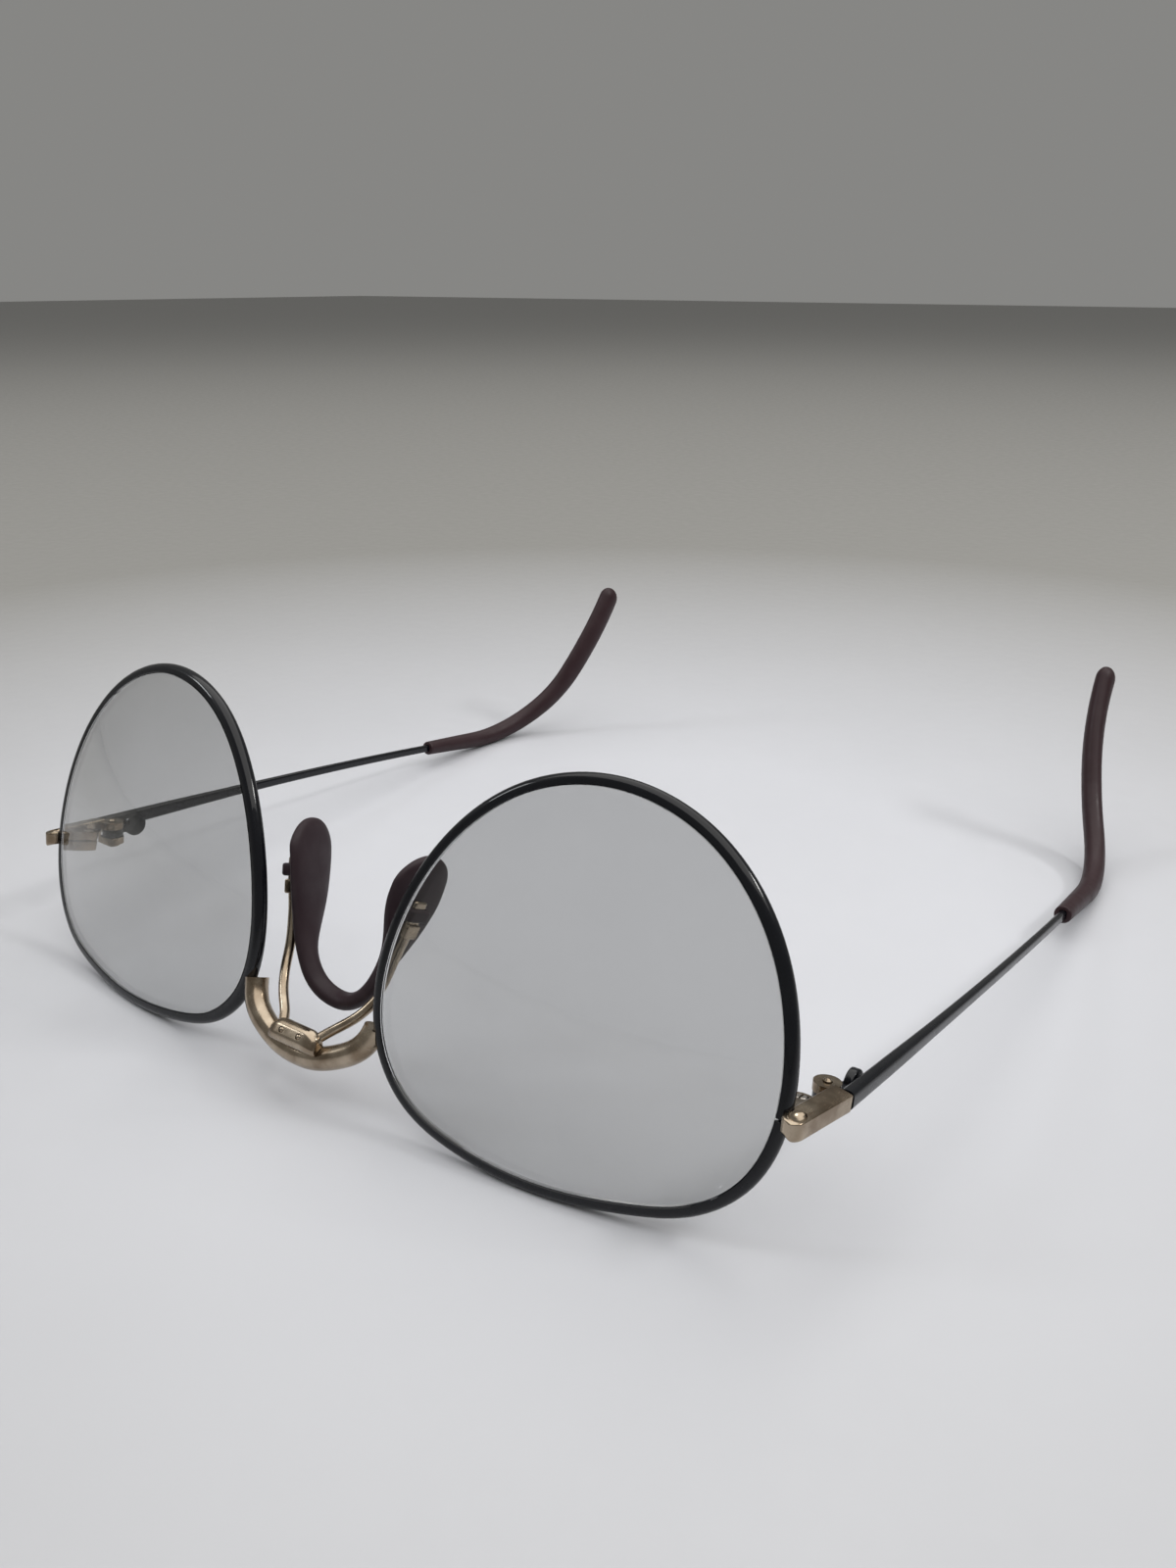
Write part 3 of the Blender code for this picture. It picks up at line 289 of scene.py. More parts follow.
# Finishes: colours, roughness where smooth and where rough, grain size and depth in millimetres, and
# how far the soft patches go towards the worn colour
FINISHES = {
    "black_enamel": dict(
        base=(0.0030, 0.0036, 0.0060), worn=(0.007, 0.008, 0.011), patches=0.4,
        smooth=0.20, rough=0.34, grain_size=0.35, grain_depth=0.003,
        metallic=0.0, coat=0.55, specular=0.10,
    ),
    "gold_plate": dict(
        base=(0.46, 0.385, 0.295), worn=(0.17, 0.118, 0.075), patches=0.75,
        smooth=0.13, rough=0.32, grain_size=0.22, grain_depth=0.004,
        metallic=1.0, coat=0.0, specular=0.5,
    ),
    "steel": dict(
        base=(0.50, 0.47, 0.43), worn=(0.24, 0.22, 0.20), patches=0.6,
        smooth=0.20, rough=0.38, grain_size=0.16, grain_depth=0.003,
        metallic=1.0, coat=0.0, specular=0.5,
    ),
    "burgundy_rubber": dict(
        base=(0.0225, 0.0105, 0.0150), worn=(0.040, 0.026, 0.031), patches=0.4,
        smooth=0.46, rough=0.62, grain_size=0.16, grain_depth=0.010,
        metallic=0.0, coat=0.0, specular=0.32,
    ),
    "burgundy_plastic": dict(
        base=(0.0250, 0.0085, 0.0115), worn=(0.036, 0.017, 0.021), patches=0.4,
        smooth=0.40, rough=0.56, grain_size=0.28, grain_depth=0.005,
        metallic=0.0, coat=0.0, specular=0.34,
    ),
}
COAT_ROUGHNESS = 0.04

# Marks on every solid finish: feature sizes in millimetres, and the stretch of the noise that counts
PATCH_SIZE = 3.5
PATCH_RANGE = (0.38, 0.66)
GLOSS_SIZE = 2.6
GLOSS_RANGE = (0.32, 0.70)
SCRATCH_SIZE = 0.09
SCRATCH_STRETCH = (1.0, 26.0, 3.0)
SCRATCH_RANGE = (0.66, 0.74)
SCRATCH_TONE = 0.22
SCRATCH_ROUGHNESS = 0.10
SCRATCH_DEPTH = 0.0015
EDGE_RANGE = (0.53, 0.60)
WEAR_SIZE = 1.2
WEAR_RANGE = (0.42, 0.62)
WEAR_TONE = 0.6

# Lens glass
GLASS_INDEX = 1.5
SMEAR_SIZE = 14.0
SMEAR_STRETCH = (1.0, 1.0, 2.2)
SMEAR_RANGE = (0.40, 0.72)
SMEAR_TONE = 0.975
WIPE_SIZE = 0.5
WIPE_STRETCH = (1.0, 1.0, 9.0)
WIPE_RANGE = (0.45, 0.80)
WIPE_ROUGHNESS = 0.035
GLASS_TINT = (0.60, 0.603, 0.598)
GLASS_SHADOW = (0.80, 0.805, 0.805)


class Nodes:
    """A short way to write a material's node tree."""

    def __init__(self, name):
        self.material = bpy.data.materials.new(name)
        self.material.use_nodes = True
        self.tree = self.material.node_tree
        self.shader = self.tree.nodes["Principled BSDF"]
        self.output = self.tree.nodes["Material Output"]
        self.coordinates = self.add("ShaderNodeTexCoord").outputs["Object"]

    def add(self, kind, **settings):
        made = self.tree.nodes.new(kind)
        for key, value in settings.items():
            setattr(made, key, value)
        return made

    def link(self, source, socket):
        self.tree.links.new(source, socket)

    def noise(self, size, detail=4.0, stretch=(1.0, 1.0, 1.0)):
        """Noise with features of about this size in millimetres, drawn out along the axes."""
        mapping = self.add("ShaderNodeMapping")
        mapping.inputs["Scale"].default_value = [1.0 / (s * size * MM) for s in stretch]
        self.link(self.coordinates, mapping.inputs["Vector"])
        made = self.add("ShaderNodeTexNoise")
        made.inputs["Scale"].default_value = 1.0
        made.inputs["Detail"].default_value = detail
        self.link(mapping.outputs["Vector"], made.inputs["Vector"])
        return made.outputs["Fac"]

    def span(self, source, low, high, start=0.0, end=1.0):
        """Source between low and high, spread over start to end and held there."""
        made = self.add("ShaderNodeMapRange")
        made.inputs["From Min"].default_value = low
        made.inputs["From Max"].default_value = high
        made.inputs["To Min"].default_value = start
        made.inputs["To Max"].default_value = end
        self.link(source, made.inputs["Value"])
        return made.outputs["Result"]

    def math(self, operation, first, second):
        made = self.add("ShaderNodeMath", operation=operation)
        for socket, value in zip(made.inputs, (first, second)):
            if isinstance(value, float):
                socket.default_value = value
            else:
                self.link(value, socket)
        return made.outputs[0]

    def mixed(self, factor, first, second):
        """Colour between two colours, each a value or a node's output."""
        made = self.add("ShaderNodeMix", data_type="RGBA")
        self.link(factor, made.inputs["Factor"])
        for socket, value in zip((made.inputs[6], made.inputs[7]), (first, second)):
            if isinstance(value, tuple):
                socket.default_value = (*value, 1.0)
            else:
                self.link(value, socket)
        return made.outputs[2]

    def bump(self, height, depth, under=None):
        """Normal bent by a height of 0 to 1 that stands for this depth in millimetres."""
        made = self.add("ShaderNodeBump")
        made.inputs["Strength"].default_value = 1.0
        made.inputs["Distance"].default_value = depth * MM
        self.link(height, made.inputs["Height"])
        if under is not None:
            self.link(under, made.inputs["Normal"])
        return made.outputs["Normal"]


def solid_material(name):
    """Opaque finish: two tones in soft patches, hairline scratches, worn edges, fine grain."""
    finish = FINISHES[name]
    base, worn = finish["base"], finish["worn"]
    nodes = Nodes(name)
    inputs = nodes.shader.inputs
    patches = nodes.span(nodes.noise(PATCH_SIZE), *PATCH_RANGE)
    fine = nodes.noise(finish["grain_size"], 6.0)
    scratches = nodes.span(nodes.noise(SCRATCH_SIZE, 2.0, SCRATCH_STRETCH), *SCRATCH_RANGE)
    edges = nodes.span(nodes.add("ShaderNodeNewGeometry").outputs["Pointiness"], *EDGE_RANGE)
    wear = nodes.math("MULTIPLY", edges, nodes.span(nodes.noise(WEAR_SIZE), *WEAR_RANGE))
    toned = nodes.mixed(nodes.math("MULTIPLY", patches, finish["patches"]), base, worn)
    marked = nodes.mixed(nodes.math("MULTIPLY", scratches, SCRATCH_TONE), toned, worn)
    rubbed = nodes.mixed(nodes.math("MULTIPLY", wear, WEAR_TONE), marked, worn)
    nodes.link(rubbed, inputs["Base Color"])
    gloss = nodes.span(nodes.noise(GLOSS_SIZE, 5.0), *GLOSS_RANGE, finish["smooth"], finish["rough"])
    dulled = nodes.math("ADD", gloss, nodes.math("MULTIPLY", scratches, SCRATCH_ROUGHNESS))
    nodes.link(dulled, inputs["Roughness"])
    grain = nodes.bump(fine, finish["grain_depth"])
    nodes.link(nodes.bump(scratches, -SCRATCH_DEPTH, grain), inputs["Normal"])
    inputs["Metallic"].default_value = finish["metallic"]
    inputs["Specular IOR Level"].default_value = finish["specular"]
    inputs["Coat Weight"].default_value = finish["coat"]
    inputs["Coat Roughness"].default_value = COAT_ROUGHNESS
    return nodes.material


def lens_material(name):
    """Clear polished lens with a faint grey cast, fine wiping marks and a light shadow."""
    nodes = Nodes(name)
    shader = nodes.shader
    shader.inputs["Transmission Weight"].default_value = 1.0
    shader.inputs["IOR"].default_value = GLASS_INDEX
    smear = nodes.span(nodes.noise(SMEAR_SIZE, 3.0, SMEAR_STRETCH), *SMEAR_RANGE)
    smeared = tuple(SMEAR_TONE * c for c in GLASS_TINT)
    nodes.link(nodes.mixed(smear, GLASS_TINT, smeared), shader.inputs["Base Color"])
    streaks = nodes.noise(WIPE_SIZE, 4.0, WIPE_STRETCH)
    wiping = nodes.span(streaks, *WIPE_RANGE, 0.0, WIPE_ROUGHNESS)
    nodes.link(wiping, shader.inputs["Roughness"])
    open_light = nodes.add("ShaderNodeBsdfTransparent")
    open_light.inputs["Color"].default_value = (*GLASS_SHADOW, 1.0)
    chooser = nodes.add("ShaderNodeMixShader")
    nodes.link(nodes.add("ShaderNodeLightPath").outputs["Is Shadow Ray"], chooser.inputs[0])
    nodes.link(shader.outputs[0], chooser.inputs[1])
    nodes.link(open_light.outputs[0], chooser.inputs[2])
    nodes.link(chooser.outputs[0], nodes.output.inputs["Surface"])
    return nodes.material


def place(x, y, z):
    """Point in the part frame, in metres, from the millimetre layout."""
    return Vector((x, y - MID_Y, z + FLOOR_LIFT)) * MM


def moved(offset):
    """Move by an offset in millimetres."""
    return Matrix.Translation(Vector(offset) * MM)


def collection(name):
    made = bpy.data.collections.new(name)
    bpy.context.scene.collection.children.link(made)
    return made


def add_object(name, mesh, target, matrix=None):
    obj = bpy.data.objects.new(name, mesh)
    target.objects.link(obj)
    if matrix is not None:
        obj.matrix_world = matrix
    return obj


def as_cutter(obj):
    """Keep an object as a Boolean operand only."""
    for old in list(obj.users_collection):
        old.objects.unlink(obj)
    CUTTERS.objects.link(obj)
    obj.hide_render = True
    obj.display_type = "WIRE"
    return obj


def boolean(obj, operand, operation="DIFFERENCE"):
    modifier = obj.modifiers.new(f"{operation.lower()}_{operand.name}", "BOOLEAN")
    modifier.operation = operation
    modifier.solver = "EXACT"
    modifier.object = as_cutter(operand)


def bevel(obj, width):
    modifier = obj.modifiers.new("bevel", "BEVEL")
    modifier.width = width * MM
    modifier.segments = BEVEL_SEGMENTS
    modifier.limit_method = "ANGLE"
    modifier.angle_limit = BEVEL_ANGLE


def evaluated_mesh(obj):
    bpy.context.view_layer.update()
    graph = bpy.context.evaluated_depsgraph_get()
    return bpy.data.meshes.new_from_object(obj.evaluated_get(graph))


def fixed_normals(mesh, merge=0.0):
    work = bmesh.new()
    work.from_mesh(mesh)
    if merge:
        bmesh.ops.remove_doubles(work, verts=work.verts, dist=merge)
    bmesh.ops.recalc_face_normals(work, faces=work.faces)
    work.to_mesh(mesh)
    work.free()
    return mesh


def natural_spline(anchors, step, closed=False):
    """Smooth path through the anchors, as a cubic spline over chord length, about step apart."""
    points = np.array(anchors, dtype=float)
    count = len(points)
    following = np.roll(points, -1, axis=0)
    chord = np.linalg.norm(following - points, axis=1)
    system = np.eye(count)
    known = np.zeros_like(points)
    for i in range(count) if closed else range(1, count - 1):
        before, after = (i - 1) % count, (i + 1) % count
        system[i, i] = 2.0 * (chord[before] + chord[i])
        system[i, before] += chord[before]
        system[i, after] += chord[i]
        known[i] = 6.0 * (
            (points[after] - points[i]) / chord[i] - (points[i] - points[before]) / chord[before]
        )
    bend = np.linalg.solve(system, known)
    path = []
    for i in range(count if closed else count - 1):
        j = (i + 1) % count
        pieces = max(1, round(chord[i] / step))
        for k in range(pieces):
            t = k / pieces
            s = 1.0 - t
            curvature = ((s**3 - s) * bend[i] + (t**3 - t) * bend[j]) * chord[i] ** 2 / 6.0
            path.append(s * points[i] + t * points[j] + curvature)
    if not closed:
        path.append(points[-1])
    return path


def curve_mesh(name, points, radius=None, profile=None, radii=None, closed=False):
    """Mesh of a tube along the points: round with a radius, or with a closed profile curve."""
    curve = bpy.data.curves.new(name, "CURVE")
    curve.dimensions = "3D"
    curve.twist_mode = "Z_UP"
    curve.use_fill_caps = not closed
    if profile is None:
        curve.bevel_depth = radius * MM
        curve.bevel_resolution = TUBE_ROUNDS
    else:
        curve.bevel_mode = "OBJECT"
        curve.bevel_object = profile
    spline = curve.splines.new("POLY")
    spline.points.add(len(points) - 1)
    spline.use_cyclic_u = closed
    for i, point in enumerate(points):
        spline.points[i].co = (*point, 1.0)
        spline.points[i].radius = radii[i] if radii else 1.0
    guide = add_object(f"{name}_guide", curve, CUTTERS)
    mesh = evaluated_mesh(guide)
    bpy.data.objects.remove(guide, do_unlink=True)
    return fixed_normals(mesh, merge=MERGE_DISTANCE)


def flat_curve(name, outline):
    """Closed curve in X and Y, in millimetres."""
    curve = bpy.data.curves.new(name, "CURVE")
    curve.dimensions = "2D"
    spline = curve.splines.new("POLY")
    spline.points.add(len(outline) - 1)
    spline.use_cyclic_u = True
    for point, (x, y) in zip(spline.points, outline):
        point.co = (x * MM, y * MM, 0.0, 1.0)
    return curve


def profile_curve(name, outline):
    """Closed section for a swept bar."""
    return as_cutter(add_object(name, flat_curve(name, outline), CUTTERS))


def extruded_mesh(name, outline, half_thickness):
    """Mesh of a flat outline in X and Y, in millimetres, thickened both ways along Z."""
    curve = flat_curve(name, outline)
    curve.fill_mode = "BOTH"
    curve.extrude = half_thickness * MM
    guide = add_object(f"{name}_guide", curve, CUTTERS)
    mesh = evaluated_mesh(guide)
    bpy.data.objects.remove(guide, do_unlink=True)
    return fixed_normals(mesh, merge=MERGE_DISTANCE)


def loft_mesh(name, rings):
    """Closed mesh through rings of equal length. A ring of one point is a pole."""
    mesh = bpy.data.meshes.new(name)
    work = bmesh.new()
    loops = [[work.verts.new(point) for point in ring] for ring in rings]
    for first, second in zip(loops, loops[1:]):
        sides = max(len(first), len(second))
        for i in range(sides):
            j = (i + 1) % sides
            corners = [first[i % len(first)], first[j % len(first)]]
            corners += [second[j % len(second)], second[i % len(second)]]
            work.faces.new(list(dict.fromkeys(corners)))
    for end in (loops[0], loops[-1]):
        if len(end) > 2:
            work.faces.new(end)
    bmesh.ops.recalc_face_normals(work, faces=work.faces)
    work.to_mesh(mesh)
    work.free()
    return mesh


def box(name, size, matrix):
    """Box operand of full size in millimetres, centred on the matrix."""
    mesh = bpy.data.meshes.new(name)
    work = bmesh.new()
    bmesh.ops.create_cube(work, size=1.0, matrix=Matrix.Diagonal((*[s * MM for s in size], 1.0)))
    work.to_mesh(mesh)
    work.free()
    return add_object(name, mesh, CUTTERS, matrix)


def cylinder(name, radius, half_height, matrix, target=None):
    """Cylinder along the matrix's Z axis, in millimetres, centred on the matrix."""
    mesh = bpy.data.meshes.new(name)
    work = bmesh.new()
    bmesh.ops.create_cone(
        work, cap_ends=True, segments=ROUND_SEGMENTS, radius1=radius * MM, radius2=radius * MM,
        depth=2.0 * half_height * MM,
    )
    work.to_mesh(mesh)
    work.free()
    return add_object(name, mesh, target or PARTS, matrix)


def turned(name, profile, matrix, steps=ROUND_SEGMENTS):
    """Turned piece: a profile of (radius, height) in millimetres, from the top down its outer side."""
    mesh = bpy.data.meshes.new(name)
    points = [(r * MM, 0.0, h * MM) for r, h in profile]
    mesh.from_pydata(points, [(i, i + 1) for i in range(len(points) - 1)], [])
    obj = add_object(name, mesh, PARTS, matrix)
    screw = obj.modifiers.new("turn", "SCREW")
    screw.steps = steps
    screw.render_steps = steps
    screw.use_merge_vertices = True
    screw.merge_threshold = TURNED_MERGE_DISTANCE
    screw.use_smooth_shade = False
    return obj


def show(obj):
    """Bake the modifiers, give the piece its finish and let it stand for its CAD node."""
    node = obj.name.removesuffix(SUFFIX)
    mesh = evaluated_mesh(obj)
    mesh.transform(obj.matrix_world)
    obj.modifiers.clear()
    obj.matrix_world = Matrix.Identity(4)
    obj.data = mesh
    mesh.shade_smooth()
    mesh.set_sharp_from_angle(angle=SHARP_ANGLE)
    mesh.materials.clear()
    mesh.materials.append(MATERIALS[SLOT_OF[node]])
    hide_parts(node)
    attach(obj, BODY_OF[node])


def mirrored_mesh(obj):
    """Shape of an object, reflected in the plane of symmetry."""
    mesh = evaluated_mesh(obj)
    mesh.transform(MIRROR @ obj.matrix_world)
    mesh.flip_normals()
    return mesh


def pair(obj):
    """Show a piece named right_* and its left twin."""
    twin = add_object(obj.name.replace("right_", "left_"), mirrored_mesh(obj), PARTS)
    show(obj)
    show(twin)


def frame_matrix(origin, along):
    """Matrix whose Y axis runs along a direction and whose Z axis leans upwards."""
    y = Vector(along).normalized()
    x = y.cross(Vector((0.0, 0.0, 1.0))).normalized()
    z = x.cross(y)
    turn = Matrix((x, y, z)).transposed().to_4x4()
    return Matrix.Translation(origin) @ turn


def lens_matrix():
    tilt = Matrix.Rotation(LENS_PITCH, 4, "X") @ Matrix.Rotation(LENS_WRAP, 4, "Z")
    return Matrix.Translation(place(*LENS_CENTRE)) @ tilt @ ALONG_Y


def outline_path():
    return natural_spline(OUTLINE, OUTLINE_STEP, closed=True)


def grown(outline, distance):
    """Counter-clockwise outline moved outwards by a distance."""
    points = np.array(outline)
    along = np.roll(points, -1, axis=0) - np.roll(points, 1, axis=0)
    along /= np.linalg.norm(along, axis=1)[:, None]
    return points + distance * np.stack([along[:, 1], -along[:, 0]], axis=1)


def on_lens(points, height):
    """Points on the base curve, in the lens frame, raised towards the front."""
    return [
        Vector((u, v, height - (u * u + v * v) / (2.0 * BASE_CURVE_RADIUS))) * MM
        for u, v in points
    ]


def rim_section(grow=0.0, groove=True):
    """Rim section: X runs outwards from the lip, Y runs across the rim."""
    depth = RIM_HALF_DEPTH + grow
    bulge = RIM_RADIAL + grow - RIM_SHOULDER
    section = [(RIM_CHAMFER - grow, -depth), (RIM_SHOULDER, -depth)]
    for k in range(1, RIM_ROUND_STEPS):
        angle = math.radians(-90.0 + 180.0 * k / RIM_ROUND_STEPS)
        section.append((RIM_SHOULDER + bulge * math.cos(angle), depth * math.sin(angle)))
    section += [(RIM_SHOULDER, depth), (RIM_CHAMFER - grow, depth), (-grow, depth - RIM_CHAMFER)]
    if groove:
        section += [(0.0, RIM_LIP), (GROOVE_DEPTH, 0.0), (0.0, -RIM_LIP)]
    section.append((-grow, RIM_CHAMFER - depth))
    return section


def rim_mesh(name, grow=0.0, groove=True):
    section = profile_curve(f"{name}_section", rim_section(grow, groove))
    path = on_lens(outline_path(), 0.0)
    return curve_mesh(name, path, profile=section, closed=True)


def make_rims():
    rim = add_object("right_rim_look", rim_mesh("right_rim"), PARTS, lens_matrix())
    gap_height = -(LOCK_AXIS[0] ** 2) / (2.0 * BASE_CURVE_RADIUS)
    gap_place = moved((LOCK_AXIS[0], SPLIT_HEIGHT, gap_height))
    boolean(rim, box("rim_split", (SPLIT_CUT, SPLIT_GAP, SPLIT_CUT), lens_matrix() @ gap_place))
    pair(rim)


def make_lenses():
    outline = outline_path()
    half = LENS_THICKNESS / 2.0
    edge = grown(outline, -LENS_EDGE_GAP)
    rings = [on_lens([(0.0, 0.0)], half)]
    rings += [on_lens(edge * k, half) for k in LENS_RING_SHARES]
    rings.append(on_lens(edge, half))
    rings.append(on_lens(edge, LENS_BEVEL_HALF))
    rings.append(on_lens(grown(outline, LENS_BEVEL_TIP), 0.0))
    rings.append(on_lens(edge, -LENS_BEVEL_HALF))
    rings.append(on_lens(edge, -half))
    rings += [on_lens(edge * k, -half) for k in reversed(LENS_RING_SHARES)]
    rings.append(on_lens([(0.0, 0.0)], -half))
    lens = add_object("right_lens_look", loft_mesh("right_lens", rings), PARTS, lens_matrix())
    pair(lens)


def lock_outline():
    """Seen along the closing screw: a block behind the rim with a round rear end."""
    axis_x, axis_z = LOCK_AXIS
    outline = [(axis_x + LOCK_NECK[1], LOCK_FRONT), (axis_x + LOCK_NECK[0], LOCK_FRONT)]
    outline.append((axis_x - LOCK_RADIUS, LOCK_FRONT - LOCK_FLANK))
    for k in range(LOCK_ROUND_STEPS + 1):
        angle = math.radians(180.0 + 180.0 * k / LOCK_ROUND_STEPS)
        outline.append(
            (axis_x + LOCK_RADIUS * math.cos(angle), axis_z + LOCK_RADIUS * math.sin(angle))
        )
    return outline


def rim_clearance(name):
    """Solid ring slightly fatter than the rim, to trim what is soldered to it."""
    return add_object(name, rim_mesh(name, SOLDER_GAP, groove=False), CUTTERS, lens_matrix())


def lock_clearance(name):
    """Solid slightly fatter than the lock barrel, to hollow out what it is soldered into."""
    middle = moved((0.0, (LOCK_BOTTOM + LOCK_TOP) / 2.0, 0.0))
    half_height = (LOCK_TOP - LOCK_BOTTOM) / 2.0 + LOCK_CLEARANCE_END
    mesh = extruded_mesh(name, grown(lock_outline(), SOLDER_GAP), half_height)
    return add_object(name, mesh, CUTTERS, lens_matrix() @ middle @ ALONG_Y)


def make_locks():
    """Two stacked half barrels and the screw through them. Their axis is the lens frame's Y."""
    half_gap = SPLIT_GAP / 2.0
    heights = {
        "upper": (SPLIT_HEIGHT + half_gap, LOCK_TOP),
        "lower": (LOCK_BOTTOM, SPLIT_HEIGHT - half_gap),
    }
    for level, (low, high) in heights.items():
        middle = moved((0.0, (low + high) / 2.0, 0.0))
        name = f"right_lock_{level}_look"
        mesh = extruded_mesh(name, lock_outline(), (high - low) / 2.0)
        block = add_object(name, mesh, PARTS, lens_matrix() @ middle @ ALONG_Y)
        boolean(block, rim_clearance(f"{name}_trim"))
        bore_place = Vector((LOCK_AXIS[0], (low + high) / 2.0, LOCK_AXIS[1])) * MM
        bore_matrix = lens_matrix() @ Matrix.Translation(bore_place) @ ALONG_Y
        bore = cylinder(f"{name}_bore", LOCK_BORE_RADIUS, LOCK_BORE_HALF_HEIGHT, bore_matrix, CUTTERS)
        boolean(block, bore)
        if level == "upper":
            sink = bore_place + Vector((0.0, (high - low) / 2.0, 0.0)) * MM
            sink_matrix = lens_matrix() @ Matrix.Translation(sink) @ ALONG_Y
            radius = LOCK_HEAD_RADIUS + LOCK_SINK_GAP
            depth = LOCK_HEAD_DEPTH + LOCK_SINK_FLOOR_GAP
            boolean(block, cylinder("lock_sink", radius, depth, sink_matrix, CUTTERS))
        pair(block)
    stand = Matrix.Rotation(-QUARTER_TURN, 4, "X")
    top = Vector((LOCK_AXIS[0], LOCK_TOP, LOCK_AXIS[1])) * MM
    shaft = LOCK_BOTTOM - LOCK_TOP + LOCK_SHAFT_END_GAP
    profile = [
        (0.0, LOCK_HEAD_RISE), (LOCK_HEAD_RADIUS - LOCK_HEAD_CHAMFER, LOCK_HEAD_RISE),
        (LOCK_HEAD_RADIUS, LOCK_HEAD_EDGE), (LOCK_HEAD_RADIUS, -LOCK_HEAD_DEPTH),
        (LOCK_SCREW_RADIUS, -LOCK_HEAD_DEPTH), (LOCK_SCREW_RADIUS, shaft), (0.0, shaft),
    ]
    screw_matrix = lens_matrix() @ Matrix.Translation(top) @ stand
    screw = turned("right_lock_screw_look", profile, screw_matrix)
    boolean(screw, box("lock_screw_slot", LOCK_SLOT_SIZE, screw_matrix))
    pair(screw)


def full_path(half):
    """Both halves of a symmetric path, from the left end to the right end."""
    left = [(-x, y, z) for x, y, z in reversed(half[1:])]
    return left + list(half)


def make_bridge():
    path = [place(*p) for p in natural_spline(full_path(BRIDGE_HALF), WIRE_STEP)]
    bridge = add_object("bridge_look", curve_mesh("bridge", path, BRIDGE_RADIUS), PARTS)
    right = rim_clearance("bridge_trim_right")
    left = add_object("bridge_trim_left", mirrored_mesh(right), CUTTERS)
    boolean(bridge, right)
    boolean(bridge, left)
    show(bridge)


def block_matrix():
    """Frame in which the block's section is drawn: X is world Y, Y is world Z."""
    turn = Matrix(((0.0, 0.0, 1.0), (1.0, 0.0, 0.0), (0.0, 1.0, 0.0))).to_4x4()
    return Matrix.Translation(place(0.0, 0.0, 0.0)) @ turn


def pin_matrix(side):
    """Pin axis, square to the block's sloping front face."""
    normal = Vector(PIN_DIRECTION).normalized()
    foot = place(side * PIN_SPACING, *PIN_FOOT)
    return Matrix.Translation(foot) @ normal.to_track_quat("Z", "Y").to_matrix().to_4x4()


def block_mesh():
    """Rounded section that falls away towards both ends of the block."""
    section = rounded_polygon(BLOCK_SECTION, BLOCK_ROUNDING, BLOCK_ROUND_STEPS)
    seat = Vector(BLOCK_SEAT)
    rings = []
    for share in [-k for k in reversed(BLOCK_STATIONS[1:])] + BLOCK_STATIONS:
        past = max(0.0, (abs(share) - BLOCK_STATIONS[1]) / (1.0 - BLOCK_STATIONS[1]))
        size = BLOCK_END_SHARE + (1.0 - BLOCK_END_SHARE) * math.sqrt(1.0 - past**2)
        points = [seat + (p - seat) * size for p in section]
        rings.append([Vector((p.x, p.y, share * BLOCK_HALF_WIDTH)) * MM for p in points])
    return loft_mesh("bridge_block", rings)


def make_block():
    block = add_object("bridge_block_look", block_mesh(), PARTS, block_matrix())
    path = [place(*p) for p in natural_spline(full_path(BRIDGE_HALF), WIRE_STEP)]
    bar = curve_mesh("block_seat", path, BRIDGE_RADIUS + SOLDER_GAP)
    boolean(block, add_object("block_seat", bar, CUTTERS))
    for side, label in ((1.0, "right"), (-1.0, "left")):
        mirror = Vector((side, 1.0, 1.0))
        root, leave = (place(*ARM_PATH[k]) * mirror for k in (0, 1))
        turn = (leave - root).to_track_quat("Z", "Y").to_matrix().to_4x4()
        socket_matrix = Matrix.Translation(leave) @ turn
        depth = (leave - root).length / MM + SOLDER_GAP
        socket = cylinder(f"arm_socket_{label}", ARM_SOCKET_RADIUS, depth, socket_matrix, CUTTERS)
        boolean(block, socket)
        hole_name = f"pin_hole_{label}"
        hole_matrix = pin_matrix(side)
        boolean(block, cylinder(hole_name, PIN_HOLE_RADIUS, PIN_HOLE_HALF_DEPTH, hole_matrix, CUTTERS))
    show(block)
    pair(turned("right_block_pin_look", PIN_PROFILE, pin_matrix(1.0), PIN_SIDES))


def make_arms():
    path = [place(*p) for p in natural_spline(ARM_PATH, WIRE_STEP)]
    path.append(place(*SHOULDER_CENTRE))
    arm = add_object("right_pad_arm_look", curve_mesh("right_pad_arm", path, ARM_RADIUS), PARTS)
    shoulder = box("arm_shoulder", SHOULDER_SIZE, tab_matrix(0.0))
    tab_length = (place(*TAB_END) - place(*SHOULDER_CENTRE)).length / MM
    tab = box("arm_tab", (TAB_THICKNESS, TAB_WIDTH, tab_length), tab_matrix(0.5))
    bevel(shoulder, SHOULDER_BEVEL)
    bevel(tab, TAB_BEVEL)
    boolean(arm, shoulder, "UNION")
    boolean(arm, tab, "UNION")
    pair(arm)


def tab_matrix(share):
    """Frame at a share of the way up the tab: Z up the tab, Y across the pad face, X off the face."""
    foot, tip = place(*SHOULDER_CENTRE), place(*TAB_END)
    across = Vector((-math.sin(PAD_SPLAY), -math.cos(PAD_SPLAY), 0.0))
    z = (tip - foot).normalized()
    x = z.cross(across).normalized()
    y = z.cross(x)
    return Matrix.Translation(foot.lerp(tip, share)) @ Matrix((x, y, z)).transposed().to_4x4()


